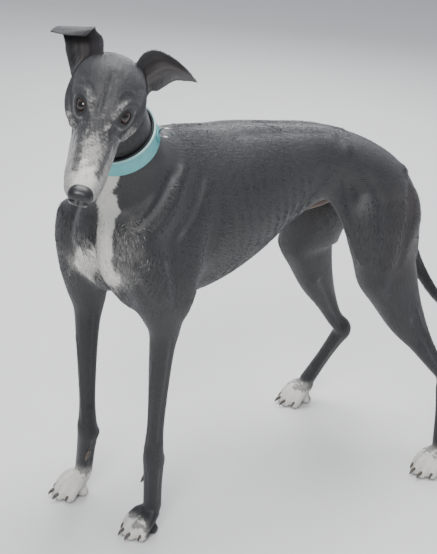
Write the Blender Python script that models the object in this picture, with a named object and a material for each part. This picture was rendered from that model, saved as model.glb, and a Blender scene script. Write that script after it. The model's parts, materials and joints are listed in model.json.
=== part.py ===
"""A life-size still model of a standing greyhound with a collar.

The animal faces -X, its left side is -Y and its paws stand on the plane Z = 0.
Every outline is a loft through a few measured rings. The lofts are joined, remeshed
into one skin, cut into the body's natural parts, and fitted with eyes, nose, claws,
ears and a collar.
"""

import math

import bmesh
import bpy
import numpy as np
from mathutils import Matrix, Vector

# Size and pose, in metres
ORIGIN = Vector((0.0692, -0.0285, 0.0))  # middle of the model's floor outline in the pose frame
GAP = 0.0003  # room between neighbouring solids
VOXEL = 0.0036
FLESH_TRIANGLES = 3000
SMOOTHING_ROUNDS = 40
LEAST_SOFT = 0.06  # on the face and the paws, where the trunk has 1
MOST_SHARE = 0.5  # of the way to its neighbours' middle that a point moves in one round
FACE_MIDDLE = 0.10  # behind the nose tip
FACE_REACH = (0.11, 0.19)  # from the face's middle, where the smoothing begins and is whole
LEG_REACH = (0.10, 0.45)  # heights where it begins and is whole
LEG_EASE = 1.5
LEAST_VOLUME = 2e-7  # cubic metres; crumbs below it are dropped

SPINE_PIVOT = -0.05  # where the back bends
SPINE_BEND = math.radians(4.1)  # each half turns this far to the animal's left
SPINE_SOFTNESS = 0.09
SPINE_OFFSET = 0.003

# Trunk rings: along the back, top, bottom, half width, height of the widest place,
# roundness above it and below it (2 is an ellipse)
TRUNK_RINGS = (
    (-0.312, 0.580, 0.512, 0.026, 0.546, 2.0, 2.0),
    (-0.300, 0.622, 0.476, 0.050, 0.550, 2.0, 2.0),
    (-0.275, 0.660, 0.436, 0.072, 0.552, 2.0, 2.0),
    (-0.235, 0.690, 0.408, 0.086, 0.545, 1.9, 2.0),
    (-0.190, 0.700, 0.399, 0.093, 0.540, 1.8, 1.9),
    (-0.150, 0.698, 0.397, 0.096, 0.540, 1.8, 1.8),
    (-0.100, 0.693, 0.401, 0.098, 0.545, 1.9, 1.8),
    (-0.050, 0.691, 0.417, 0.098, 0.555, 2.0, 1.8),
    (0.000, 0.686, 0.446, 0.093, 0.570, 2.1, 1.9),
    (0.050, 0.680, 0.484, 0.084, 0.587, 2.2, 2.0),
    (0.100, 0.675, 0.517, 0.074, 0.603, 2.3, 2.1),
    (0.145, 0.666, 0.535, 0.070, 0.607, 2.3, 2.1),
    (0.190, 0.653, 0.536, 0.074, 0.602, 2.2, 2.1),
    (0.240, 0.634, 0.526, 0.077, 0.587, 2.1, 2.0),
    (0.290, 0.606, 0.500, 0.072, 0.560, 2.0, 2.0),
    (0.325, 0.572, 0.486, 0.056, 0.532, 2.0, 2.0),
    (0.346, 0.545, 0.500, 0.028, 0.522, 2.0, 2.0),
)

# Neck rings: centre, half width, reach to the throat, reach to the crest
NECK_RINGS = (
    ((-0.190, -0.014, 0.560), 0.072, 0.095, 0.100),
    ((-0.222, -0.016, 0.604), 0.071, 0.086, 0.092),
    ((-0.253, -0.022, 0.648), 0.066, 0.074, 0.076),
    ((-0.279, -0.033, 0.686), 0.060, 0.063, 0.063),
    ((-0.303, -0.051, 0.727), 0.056, 0.056, 0.057),
    ((-0.324, -0.073, 0.768), 0.053, 0.052, 0.053),
    ((-0.340, -0.096, 0.800), 0.046, 0.044, 0.044),
)

# The head's own axes, seen from the animal: right, muzzle and crown
NOSE_TIP = Vector((-0.4504, -0.2154, 0.6860))
HEAD_RIGHT = Vector((-0.8086, 0.5486, 0.2141)).normalized()
HEAD_MUZZLE = Vector((-0.5631, -0.6115, -0.5564)).normalized()
HEAD_CROWN = HEAD_RIGHT.cross(HEAD_MUZZLE).normalized()

# Head rings: behind the nose tip, top, bottom, half width, widest height, roundness
HEAD_RINGS = (
    (0.236, 0.034, 0.000, 0.026, 0.016, 2.0, 2.0),
    (0.226, 0.049, -0.022, 0.041, 0.014, 2.0, 2.0),
    (0.210, 0.060, -0.042, 0.050, 0.012, 2.0, 2.0),
    (0.188, 0.0655, -0.052, 0.0545, 0.010, 2.1, 2.0),
    (0.164, 0.062, -0.054, 0.052, 0.007, 2.2, 2.0),
    (0.145, 0.055, -0.051, 0.047, 0.003, 2.2, 2.0),
    (0.125, 0.045, -0.047, 0.0395, -0.001, 2.2, 2.1),
    (0.105, 0.037, -0.044, 0.0330, -0.005, 2.2, 2.2),
    (0.082, 0.030, -0.041, 0.0305, -0.008, 2.2, 2.3),
    (0.058, 0.0245, -0.039, 0.0295, -0.012, 2.1, 2.4),
    (0.034, 0.0200, -0.037, 0.0285, -0.014, 2.1, 2.4),
    (0.016, 0.0165, -0.032, 0.0240, -0.012, 2.2, 2.4),
    (0.005, 0.0130, -0.024, 0.0170, -0.008, 2.2, 2.2),
)

# Legs: joints from the body down, then the paw's middle and heading
LEGS = {
    "foreleg_left": {
        "joints": ((-0.287, -0.088, 0.556), (-0.2148, -0.0946, 0.394), (-0.2205, -0.0985, 0.141)),
        "paw": (-0.2270, -0.1010),
        "heading": math.radians(186),
    },
    "foreleg_right": {
        "joints": ((-0.300, 0.072, 0.540), (-0.2605, 0.0740, 0.375), (-0.2680, 0.0420, 0.133)),
        "paw": (-0.2745, 0.0560),
        "heading": math.radians(177),
    },
    "hindleg_left": {
        "joints": ((0.240, -0.072, 0.596), (0.2180, -0.1090, 0.386), (0.3950, -0.1600, 0.178)),
        "paw": (0.3690, -0.1930),
        "heading": math.radians(186),
    },
    "hindleg_right": {
        "joints": ((0.225, 0.052, 0.596), (0.1800, 0.0780, 0.392), (0.3440, 0.0880, 0.178)),
        "paw": (0.3050, 0.1420),
        "heading": math.radians(176),
    },
}

# Leg rings: bone, place along it, half width, reach forward, reach back
FORELEG_RINGS = (
    (0, 0.02, 0.030, 0.026, 0.038),
    (0, 0.22, 0.037, 0.035, 0.052),
    (0, 0.55, 0.037, 0.038, 0.054),
    (0, 0.85, 0.032, 0.034, 0.046),
    (1, 0.04, 0.0250, 0.0270, 0.0340),
    (1, 0.15, 0.0225, 0.0240, 0.0250),
    (1, 0.32, 0.0205, 0.0215, 0.0200),
    (1, 0.52, 0.0180, 0.0185, 0.0170),
    (1, 0.76, 0.0155, 0.0155, 0.0155),
    (1, 0.92, 0.0172, 0.0168, 0.0180),
    (2, 0.00, 0.0192, 0.0178, 0.0205),
    (2, 0.20, 0.0188, 0.0168, 0.0198),
    (2, 0.55, 0.0178, 0.0158, 0.0175),
    (2, 1.00, 0.0182, 0.0152, 0.0168),
)
HINDLEG_RINGS = (
    (0, 0.12, 0.026, 0.036, 0.050),
    (0, 0.30, 0.038, 0.062, 0.092),
    (0, 0.52, 0.042, 0.066, 0.104),
    (0, 0.78, 0.039, 0.042, 0.108),
    (1, 0.00, 0.0340, 0.0180, 0.1100),
    (1, 0.16, 0.0300, 0.0210, 0.0920),
    (1, 0.38, 0.0235, 0.0250, 0.0600),
    (1, 0.62, 0.0170, 0.0180, 0.0350),
    (1, 0.84, 0.0140, 0.0150, 0.0215),
    (2, -0.04, 0.0165, 0.0180, 0.0210),
    (2, 0.15, 0.0160, 0.0165, 0.0180),
    (2, 0.50, 0.0145, 0.0138, 0.0148),
    (2, 1.00, 0.0170, 0.0145, 0.0155),
)
FETLOCK_HEIGHT = 0.047
FETLOCK_BACK = 0.010
CAP_TURNS = (math.radians(38), math.radians(68))

# One paw: each toe's place to the side and its reach, then the toe's path as shares of them
TOES = ((-0.0205, 0.028), (-0.0075, 0.042), (0.0080, 0.042), (0.0205, 0.029))
TOE_PATH = (
    (0.45, -0.35, 0.0380, 0.0100),
    (0.80, 0.20, 0.0320, 0.0108),
    (1.00, 0.62, 0.0215, 0.0102),
    (1.08, 0.86, 0.0098, 0.0096),
    (1.08, 0.92, 0.0064, 0.0088),
)
PAD_PATH = ((-0.0110, -0.0050, 0.0086), (0.0, -0.0010, 0.0090), (0.0110, -0.0050, 0.0086))
GROUND_BLOCK = (1.4, 0.7, 0.05)  # what is cut off below the floor
PAD_RADIUS = 0.0118
HEEL_TOP = (0.0150, 0.0130, 0.0130)
HEEL_FOOT = (0.0, -0.0020, 0.0140, 0.0165, 0.0135, 0.0125)  # place on the paw, then sizes
DEWCLAW_TAPER = ((0.0, 0.0034), (0.35, 0.0032), (0.7, 0.0024), (1.0, 0.0010))
CLAW_PATH = (
    (1.10, 0.93, 0.0125, 0.0034),
    (1.12, 1.06, 0.0122, 0.0031),
    (1.13, 1.18, 0.0095, 0.0023),
    (1.13, 1.26, 0.0055, 0.0011),
)
CLAW_ROOM = 0.0005  # gap round the root of a claw
DEWCLAW_PLACE = 0.42  # along the pastern, on its inner side
DEWCLAW_ROOT = (0.0165, 0.002)  # inward and ahead of the bone
DEWCLAW_TIP = Vector((0.007, 0.003, -0.015))  # ahead, inward and down from its root
HIND_TOE_STRETCH = 1.10

# Head details in head coordinates: to one side, behind the nose tip, towards the crown
EYE_CENTRE = (0.0271, 0.1365, 0.0255)
EYE_RADIUS = 0.0115
LID_RADIUS = 0.0142
LID_GAP = (0.0372, 0.1290, 0.0305)
LID_GAP_SIZE = (0.0098, 0.0074, 0.0075)
LID_SLANT = (0.75, -0.66, 0.10)  # along the gap between the lids: right, muzzle and crown
NOSE_RINGS = (
    (0.015, 0.0125, -0.0125, 0.0135, 0.000, 2.2, 2.2),
    (0.008, 0.0160, -0.0150, 0.0172, 0.001, 2.3, 2.3),
    (0.001, 0.0165, -0.0150, 0.0180, 0.001, 2.4, 2.3),
    (-0.005, 0.0140, -0.0130, 0.0160, 0.001, 2.4, 2.3),
    (-0.009, 0.0080, -0.0080, 0.0100, 0.001, 2.2, 2.2),
)
EAR_THICKNESS = 0.0026
EAR_SLOT = 0.0012  # how much thicker the slot in the head is than the ear
EAR_COLUMNS = 5
# Ear rows from the skull to the free rim: inner edge, outer edge, bulge of the ear's back
EARS = {
    "ear_right": (
        ((0.0215, 0.196, 0.046), (0.0570, 0.188, 0.014), 0.010),
        ((0.0207, 0.207, 0.056), (0.0653, 0.199, 0.026), 0.014),
        ((0.0230, 0.217, 0.064), (0.0744, 0.210, 0.040), 0.016),
        ((0.0277, 0.229, 0.068), (0.0795, 0.222, 0.046), 0.015),
        ((0.0405, 0.2390, 0.0680), (0.0897, 0.2360, 0.0520), 0.008),
        ((0.0400, 0.2385, 0.0735), (0.0930, 0.2335, 0.0570), -0.010),
        ((0.0435, 0.2290, 0.0755), (0.0975, 0.2270, 0.0590), -0.013),
        ((0.0500, 0.2170, 0.0720), (0.1018, 0.2155, 0.0620), -0.010),
    ),
    "ear_left": (
        ((0.0240, 0.198, 0.044), (0.0540, 0.184, 0.010), 0.010),
        ((0.0277, 0.214, 0.055), (0.0587, 0.195, 0.022), 0.014),
        ((0.0330, 0.224, 0.064), (0.0667, 0.194, 0.028), 0.017),
        ((0.0433, 0.234, 0.066), (0.0757, 0.200, 0.036), 0.016),
        ((0.0575, 0.238, 0.064), (0.0869, 0.210, 0.042), 0.012),
        ((0.0781, 0.236, 0.060), (0.0996, 0.213, 0.044), 0.007),
        ((0.0989, 0.229, 0.054), (0.1110, 0.2144, 0.046), 0.003),
        ((0.1180, 0.217, 0.047), (0.1200, 0.2150, 0.0455), 0.0003),
    ),
}
EAR_BULGE = (0.0, 0.80, -0.60)  # in head coordinates
EAR_ROWS_BETWEEN = 2
SLOT_ROWS = 9
SLOT_START = 8  # how much further the slot starts below the ear's root, in reaches
SLOT_REACH = 0.04  # how far the slot goes past the ear's edges, as a share of its width

# Collar: a padded band round the middle of the neck
COLLAR_LOW = Vector((-0.2831, -0.0359, 0.6905))  # middle of its lower edge
COLLAR_AXIS = Vector((-0.468, -0.358, 0.808)).normalized()
COLLAR_WIDTH = 0.030
LINING_EDGE = 0.002  # how far the lining stands past both edges of the band
COLLAR_ROOM = 0.085
LINING_INSIDE = 0.0600  # radius at the lower edge
BAND_INSIDE = 0.0628
BAND_OUTSIDE = 0.0655
COLLAR_TAPER = -0.075  # change of radius for each metre upwards
TAB_THICKNESS = 0.0022
TAB_SIZE = (0.024, 0.016)
TAB_TURN = math.radians(132)  # where the tab and its ring sit, round the collar
RING_RADIUS = 0.0105
RING_WIRE = 0.0016

# Material slots: colour, roughness, metallic
SLOTS = {
    "coat_slate": ((0.075, 0.080, 0.092), 0.62, 0.0),
    "coat_dark": ((0.035, 0.036, 0.042), 0.62, 0.0),
    "coat_white": ((0.72, 0.70, 0.66), 0.70, 0.0),
    "ear_skin": ((0.060, 0.052, 0.055), 0.60, 0.0),
    "nose_leather": ((0.020, 0.020, 0.022), 0.42, 0.0),
    "eye_amber": ((0.070, 0.035, 0.014), 0.10, 0.0),
    "claw_horn": ((0.30, 0.25, 0.20), 0.40, 0.0),
    "collar_teal": ((0.130, 0.420, 0.430), 0.50, 0.0),
    "collar_padding": ((0.020, 0.022, 0.025), 0.75, 0.0),
    "collar_metal": ((0.35, 0.35, 0.36), 0.30, 1.0),
}
# Which slot a node has, by how its name starts and ends
NODE_SLOTS = (
    ("claw", "", "claw_horn"),
    ("dewclaw", "", "claw_horn"),
    ("eye", "", "eye_amber"),
    ("ear", "", "ear_skin"),
    ("nose", "", "nose_leather"),
    ("collar_ring", "", "collar_metal"),
    ("collar_lining", "", "collar_padding"),
    ("collar", "", "collar_teal"),
    ("", "paw", "coat_white"),
    ("", "lower", "coat_dark"),
    ("", "pastern", "coat_dark"),
    ("", "", "coat_slate"),
)

# Where the body is parted: middle of the cut, the way it faces, its reach
NECK_CUTS = (
    ((-0.3120, -0.0570, 0.7420), (-0.468, -0.358, 0.808), 0.074),
    ((-0.2560, -0.0240, 0.6560), (-0.550, -0.150, 0.820), 0.125),
)
TAIL_CUTS = (
    ((0.3690, -0.0225, 0.4450), (0.35, -0.05, -0.935), 0.025),
    ((0.4500, -0.0345, 0.3070), (0.63, -0.09, -0.77), 0.025),
)
PAW_CUT_HEIGHT = 0.056
LIMB_CUT_REACH = 0.040
# The upper leg's share of the shoulder or thigh: bone, place, shift outward, half width, front, back
UPPER_FORE = (
    (0, 0.02, 0.014, 0.030, 0.040, 0.046),
    (0, 0.25, 0.014, 0.044, 0.058, 0.064),
    (0, 0.60, 0.014, 0.046, 0.058, 0.066),
    (0, 0.95, 0.010, 0.041, 0.048, 0.056),
    (1, 0.12, 0.004, 0.034, 0.038, 0.044),
)
UPPER_HIND = (
    (0, 0.14, 0.020, 0.034, 0.050, 0.060),
    (0, 0.32, 0.018, 0.048, 0.082, 0.110),
    (0, 0.62, 0.014, 0.052, 0.082, 0.126),
    (0, 0.95, 0.008, 0.048, 0.050, 0.140),
    (1, 0.18, 0.004, 0.042, 0.044, 0.116),
)
# Muscles of the left side: centre, half width, reach forward, reach back
SHOULDER_BLADE = (
    ((-0.196, -0.040, 0.640), 0.022, 0.026, 0.026),
    ((-0.218, -0.058, 0.610), 0.026, 0.036, 0.036),
    ((-0.250, -0.067, 0.570), 0.027, 0.038, 0.044),
    ((-0.280, -0.062, 0.528), 0.027, 0.030, 0.040),
    ((-0.278, -0.062, 0.490), 0.024, 0.022, 0.034),
)
TRICEPS = (
    ((-0.180, -0.062, 0.575), 0.024, 0.036, 0.034),
    ((-0.186, -0.076, 0.520), 0.028, 0.048, 0.042),
    ((-0.194, -0.084, 0.465), 0.027, 0.046, 0.036),
    ((-0.203, -0.088, 0.415), 0.021, 0.030, 0.026),
)
PECTORAL = (
    ((-0.296, -0.028, 0.566), 0.026, 0.020, 0.030),
    ((-0.298, -0.031, 0.520), 0.032, 0.024, 0.034),
    ((-0.282, -0.035, 0.470), 0.033, 0.024, 0.034),
    ((-0.258, -0.040, 0.432), 0.027, 0.020, 0.028),
)
# Rows that run backwards reach down and up instead
CROUP = (
    ((0.140, -0.034, 0.612), 0.028, 0.026, 0.030),
    ((0.185, -0.042, 0.600), 0.035, 0.040, 0.038),
    ((0.235, -0.047, 0.580), 0.037, 0.046, 0.036),
    ((0.280, -0.046, 0.556), 0.032, 0.042, 0.028),
    ((0.300, -0.043, 0.545), 0.024, 0.028, 0.018),
)
HAMSTRING = (
    ((0.304, -0.058, 0.535), 0.024, 0.030, 0.026),
    ((0.294, -0.074, 0.500), 0.028, 0.044, 0.034),
    ((0.272, -0.086, 0.460), 0.026, 0.044, 0.032),
    ((0.254, -0.094, 0.420), 0.020, 0.034, 0.026),
)
FLANK_FOLD = (
    ((0.142, -0.050, 0.578), 0.016, 0.028, 0.034),
    ((0.163, -0.062, 0.535), 0.013, 0.024, 0.038),
    ((0.182, -0.076, 0.485), 0.012, 0.020, 0.038),
    ((0.200, -0.088, 0.440), 0.013, 0.018, 0.030),
)
TAIL_RINGS = (
    ((0.300, -0.015, 0.565), 0.024),
    ((0.328, -0.017, 0.549), 0.021),
    ((0.350, -0.020, 0.508), 0.0185),
    ((0.366, -0.022, 0.455), 0.0172),
    ((0.389, -0.026, 0.400), 0.0158),
    ((0.420, -0.030, 0.347), 0.0140),
    ((0.462, -0.036, 0.293), 0.0120),
    ((0.507, -0.044, 0.252), 0.0100),
    ((0.556, -0.052, 0.225), 0.0078),
    ((0.603, -0.057, 0.214), 0.0054),
)
# Sheath rings: centre, half width, depth
SHEATH_RINGS = (
    ((0.098, -0.010, 0.530), 0.010, 0.012),
    ((0.118, -0.011, 0.520), 0.013, 0.015),
    ((0.150, -0.012, 0.523), 0.014, 0.016),
    ((0.185, -0.013, 0.530), 0.014, 0.015),
    ((0.220, -0.014, 0.533), 0.013, 0.013),
)


def clear_scene():
    for old in list(bpy.data.objects):
        bpy.data.objects.remove(old, do_unlink=True)


def smooth_rows(rows, between):
    """Rows of numbers with more rows put between them, on a Catmull-Rom curve."""
    rows = np.asarray(rows, float)
    ends = np.vstack([2 * rows[0] - rows[1], rows, 2 * rows[-1] - rows[-2]])
    out = []
    for i in range(1, len(ends) - 2):
        a, b, c, d = ends[i - 1 : i + 3]
        for k in range(between):
            t = k / between
            out.append(
                b + 0.5 * t * (c - a + t * (2 * a - 5 * b + 4 * c - d + t * (3 * (b - c) + d - a)))
            )
    return np.array(out + [rows[-1]]).tolist()


def ring_outline(up, down, half, widest, above, below, sides):
    """Points (sideways, height) round one ring, a superellipse above and below its widest place."""
    points = []
    for k in range(sides):
        turn = 2 * math.pi * k / sides
        c, s = math.cos(turn), math.sin(turn)
        power = above if s > 0 else below
        side = math.copysign(abs(c) ** (2 / power), c) * half
        reach = (up - widest) if s > 0 else (widest - down)
        points.append((side, widest + math.copysign(abs(s) ** (2 / power), s) * reach))
    return points


def loft(rings):
    """One closed body through rings of points that run the same way round."""
    body = bmesh.new()
    loops = [[body.verts.new(p) for p in ring] for ring in rings]
    for low, high in zip(loops, loops[1:]):
        for k in range(len(low)):
            n = (k + 1) % len(low)
            body.faces.new((low[k], low[n], high[n], high[k]))
    body.faces.new(loops[0][::-1])
    body.faces.new(loops[-1])
    return whole_faces(body)


def whole_faces(body):
    """Turns the faces outward and splits them, so that both sides of a cut get the same triangles."""
    bmesh.ops.recalc_face_normals(body, faces=body.faces)
    bmesh.ops.triangulate(body, faces=body.faces)
    return body


def bend(point):
    """A point of the straight body, moved to the gently bent one."""
    x, y, z = point
    ahead = x - SPINE_PIVOT
    reach = math.hypot(ahead, SPINE_SOFTNESS)
    slope = math.tan(SPINE_BEND)
    middle = -SPINE_OFFSET - slope * (reach - 0.3 * SPINE_SOFTNESS)
    lean = math.atan(-slope * ahead / reach)
    return Vector((x - math.sin(lean) * y, middle + math.cos(lean) * y, z))


def trunk():
    rings = []
    for x, top, bottom, half, widest, above, below in smooth_rows(TRUNK_RINGS, 3):
        outline = ring_outline(top, bottom, half, widest, above, below, 40)
        rings.append([bend((x, side, height)) for side, height in outline])
    return loft(rings)


def tube(rows, hints=None, sides=20):
    """A limb: rows of centre, half width, reach to the front and to the back, square to its path."""
    rings = []
    for i, (x, y, z, half, front, back) in enumerate(rows):
        ahead = Vector(rows[min(i + 1, len(rows) - 1)][:3])
        behind = Vector(rows[max(i - 1, 0)][:3])
        along = (ahead - behind).normalized()
        side = Vector(hints[i] if hints else (0, 1, 0))
        side = (side - side.dot(along) * along).normalized()
        forward = side.cross(along)
        outline = ring_outline(front, -back, half, 0.0, 2.0, 2.0, sides)
        ring = [Vector((x, y, z)) + s * side + f * forward for s, f in outline]
        end = {0: -1, len(rows) - 1: 1}.get(i)
        caps = cap_rings(ring, along * end, min(half, front + back)) if end else []
        rings += caps[::-1] + [ring] if end == -1 else [ring] + caps
    return loft(rings)


def cap_rings(ring, outward, reach):
    """Smaller rings past the end of a limb, which round it off."""
    middle = sum(ring, Vector()) / len(ring)
    caps = []
    for turn in CAP_TURNS:
        shift = outward * reach * math.sin(turn)
        caps.append([middle + (p - middle) * math.cos(turn) + shift for p in ring])
    return caps


def neck():
    rows = [(*centre, half, throat, crest) for centre, half, throat, crest in NECK_RINGS]
    rows = smooth_rows(rows, 4)
    last = len(rows) - 1
    hints = [Vector((0, 1, 0)).lerp(HEAD_RIGHT, i / last) for i in range(last + 1)]
    return tube(rows, hints, 32)


def head_point(side, behind, height):
    """A place on the head: to the animal's right, behind the nose tip, towards the crown."""
    return NOSE_TIP + side * HEAD_RIGHT - behind * HEAD_MUZZLE + height * HEAD_CROWN


def head():
    rings = []
    for behind, top, bottom, half, widest, above, below in smooth_rows(HEAD_RINGS, 3):
        outline = ring_outline(top, bottom, half, widest, above, below, 32)
        rings.append([head_point(side, behind, height) for side, height in outline])
    return loft(rings)


def head_strand(points, radii, side):
    """A muscle or bony ridge of the head, on one side of it."""
    rows = smooth_rows([(*p, r) for p, r in zip(points, radii)], 3)
    rows = [(*head_point(side * s, behind, height), r, r, r) for s, behind, height, r in rows]
    return tube(rows, [HEAD_CROWN] * len(rows), 14)


def face_strands():
    for side in (1, -1):
        yield head_strand(((0.037, 0.112, 0.006), (0.048, 0.140, 0.006), (0.0515, 0.168, 0.010),
                           (0.046, 0.200, 0.020)), (0.0060, 0.0075, 0.0080, 0.0080), side)
        yield head_strand(((0.014, 0.116, 0.034), (0.021, 0.134, 0.042), (0.033, 0.151, 0.040),
                           (0.044, 0.160, 0.026)), (0.0055, 0.0065, 0.0065, 0.0060), side)
        yield head_strand(((0.040, 0.150, -0.014), (0.040, 0.178, -0.026), (0.036, 0.204, -0.036)),
                          (0.0130, 0.0180, 0.0160), side)
        yield head_strand(((0.009, 0.012, -0.030), (0.019, 0.050, -0.034), (0.022, 0.100, -0.042),
                           (0.030, 0.160, -0.048)), (0.0065, 0.0080, 0.0090, 0.0100), side)
        yield head_strand(((0.014, 0.012, -0.014), (0.0225, 0.040, -0.018), (0.0245, 0.075, -0.022),
                           (0.028, 0.110, -0.022)), (0.0065, 0.0075, 0.0080, 0.0075), side)


def leg_joints(leg):
    """The joints of a leg down to its fetlock, which stands over the back of the paw."""
    x, y = leg["paw"]
    back = -FETLOCK_BACK
    fetlock = (x + back * math.cos(leg["heading"]), y + back * math.sin(leg["heading"]), FETLOCK_HEIGHT)
    return [Vector(j) for j in leg["joints"]] + [Vector(fetlock)]


def leg(name):
    joints = leg_joints(LEGS[name])
    rings = FORELEG_RINGS if name.startswith("fore") else HINDLEG_RINGS
    rows = []
    for bone, place, half, front, back in rings:
        centre = joints[bone].lerp(joints[bone + 1], place)
        rows.append((*centre, half, front, back))
    return tube(smooth_rows(rows, 4), sides=24)


def muscle(rings, side):
    """A muscle given for the left side, or mirrored for the right one (side 1)."""
    rows = smooth_rows([(*c, half, front, back) for c, half, front, back in rings], 4)
    return tube([(*bend((x, -side * y, z)), *sizes) for x, y, z, *sizes in rows])


def tail():
    return tube(smooth_rows([(*centre, r, r, r) for centre, r in TAIL_RINGS], 4), sides=16)


def sheath():
    rows = [(*centre, half, deep, deep) for centre, half, deep in SHEATH_RINGS]
    return tube(smooth_rows(rows, 4), sides=16)


def joined(name, bodies):
    """Several closed bodies in one object."""
    whole = bmesh.new()
    for body in bodies:
        part = bpy.data.meshes.new("piece")
        body.to_mesh(part)
        body.free()
        whole.from_mesh(part)
        bpy.data.meshes.remove(part)
    mesh = bpy.data.meshes.new(name)
    whole.to_mesh(mesh)
    whole.free()
    made = bpy.data.objects.new(name, mesh)
    bpy.context.scene.collection.objects.link(made)
    return made


def flesh_bodies():
    yield trunk()
    yield neck()
    yield head()
    yield from face_strands()
    for side in (1, -1):
        yield ball(eye_centre(side), LID_RADIUS)
    for name in LEGS:
        yield leg(name)
        yield from paw_bodies(name)
    for side in (1, -1):
        for rings in (SHOULDER_BLADE, TRICEPS, PECTORAL, CROUP, HAMSTRING, FLANK_FOLD):
            yield muscle(rings, side)
    yield tail()
    yield sheath()


def paw_point(name, side, ahead, height):
    """A place on a paw: to its own right, ahead of its middle, over the floor."""
    leg_data = LEGS[name]
    x, y = leg_data["paw"]
    c, s = math.cos(leg_data["heading"]), math.sin(leg_data["heading"])
    return Vector((x + ahead * c + side * s, y + ahead * s - side * c, height))


def toe_rows(name, toe, path, between=3):
    lateral, reach = toe
    if name.startswith("hind"):
        reach *= HIND_TOE_STRETCH
    rows = [(*paw_point(name, lateral * a, reach * b, z), r, r, r) for a, b, z, r in path]
    return smooth_rows(rows, between)


def heading_side(name):
    return paw_point(name, 1, 0, 0) - paw_point(name, 0, 0, 0)


def paw_bodies(name):
    side = heading_side(name)
    for toe in TOES:
        rows = toe_rows(name, toe, TOE_PATH)
        yield tube(rows, [side] * len(rows), 14)
    rows = [(*paw_point(name, *place), PAD_RADIUS, PAD_RADIUS, PAD_RADIUS) for place in PAD_PATH]
    yield tube(smooth_rows(rows, 3), [(0, 0, 1)] * 7, 14)
    fetlock = leg_joints(LEGS[name])[-1]
    rows = [(*fetlock, *HEEL_TOP), (*paw_point(name, *HEEL_FOOT[:3]), *HEEL_FOOT[3:])]
    yield tube(smooth_rows(rows, 3), [side] * 4, 14)


def ear_sheet(name, reach=0.0):
    """The ear's middle surface: a strip between its two edges, which bulges to the back.

    With a reach it goes that share further at the root and at both edges.
    """
    side = 1 if name.endswith("right") else -1
    rows = smooth_rows([(*inner, *outer, bulge) for inner, outer, bulge in EARS[name]], EAR_ROWS_BETWEEN)
    shares = [k / EAR_COLUMNS for k in range(EAR_COLUMNS + 1)]
    if reach:
        rows.insert(0, [a + (a - b) * SLOT_START * reach for a, b in zip(rows[0], rows[1])])
        rows = rows[:SLOT_ROWS]
        shares = [-reach, *shares, 1 + reach]
    back = EAR_BULGE[1] * -HEAD_MUZZLE + EAR_BULGE[2] * HEAD_CROWN
    grid = []
    for row in rows:
        inner = head_point(side * row[0], row[1], row[2])
        outer = head_point(side * row[3], row[4], row[5])
        line = []
        for share in shares:
            bulge = row[6] * max(math.sin(math.pi * share), 0)
            line.append(inner.lerp(outer, share) + back * bulge)
        grid.append(line)
    return grid


def linked(name, body):
    """A new object that holds this bmesh."""
    mesh = bpy.data.meshes.new(name)
    body.to_mesh(mesh)
    body.free()
    made = bpy.data.objects.new(name, mesh)
    bpy.context.scene.collection.objects.link(made)
    return made


def walled(made, thickness):
    wall = made.modifiers.new("Wall", "SOLIDIFY")
    wall.thickness = thickness
    wall.offset = 0
    return made


def ear(name, thickness, reach=0.0, prefix=""):
    body = bmesh.new()
    verts = [[body.verts.new(p) for p in line] for line in ear_sheet(name, reach)]
    for low, high in zip(verts, verts[1:]):
        for corners in zip(low, low[1:], high[1:], high):
            body.faces.new(corners)
    bmesh.ops.triangulate(body, faces=body.faces)
    return walled(linked(prefix + name, body), thickness)


def claw_bodies(swell=0.0):
    """Each claw's name and body. With a swell it is the hole that the claw sits in."""
    for name in LEGS:
        for number, toe in enumerate(TOES, 1):
            rows = toe_rows(name, toe, CLAW_PATH, 1)
            rows = [(*row[:3], *(r + swell for r in row[3:])) for row in rows]
            yield f"claw_{name}_{number}", tube(rows, [heading_side(name)] * len(rows), 5)
        if name.startswith("fore"):
            yield f"dewclaw_{name}", dewclaw(name, swell)


def dewclaw_places(name):
    """The root and the tip of the dewclaw, on the inner side of the pastern."""
    joints = leg_joints(LEGS[name])
    inward = heading_side(name) * (1 if name.endswith("left") else -1)
    ahead = paw_point(name, 0, 1, 0) - paw_point(name, 0, 0, 0)
    middle = joints[2].lerp(joints[3], DEWCLAW_PLACE)
    root = middle + inward * DEWCLAW_ROOT[0] + ahead * DEWCLAW_ROOT[1]
    return root, root + ahead * DEWCLAW_TIP.x + inward * DEWCLAW_TIP.y + Vector((0, 0, DEWCLAW_TIP.z))


def dewclaw(name, swell):
    root, tip = dewclaw_places(name)
    rows = [(*root.lerp(tip, share), *[radius + swell] * 3) for share, radius in DEWCLAW_TAPER]
    return tube(rows, [heading_side(name)] * len(rows), 5)


def ball(centre, radius, segments=12):
    body = bmesh.new()
    bmesh.ops.create_uvsphere(body, u_segments=segments, v_segments=segments // 2, radius=radius)
    bmesh.ops.translate(body, verts=body.verts, vec=centre)
    return body


def eye_centre(side):
    return head_point(side * EYE_CENTRE[0], EYE_CENTRE[1], EYE_CENTRE[2])


def eye_opening(side):
    """The gap between the lids, as a squashed ball in front of the eye."""
    centre = head_point(side * LID_GAP[0], LID_GAP[1], LID_GAP[2])
    outward = (centre - eye_centre(side)).normalized()
    corner = side * HEAD_RIGHT * LID_SLANT[0] + HEAD_MUZZLE * LID_SLANT[1] + HEAD_CROWN * LID_SLANT[2]
    corner = (corner - corner.dot(outward) * outward).normalized()
    body = ball((0, 0, 0), 1.0, 10)
    axes = Matrix((corner, outward.cross(corner), outward)).transposed()
    bmesh.ops.transform(body, matrix=axes.to_4x4() @ Matrix.Diagonal((*LID_GAP_SIZE, 1)), verts=body.verts)
    bmesh.ops.translate(body, verts=body.verts, vec=centre)
    return body


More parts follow.
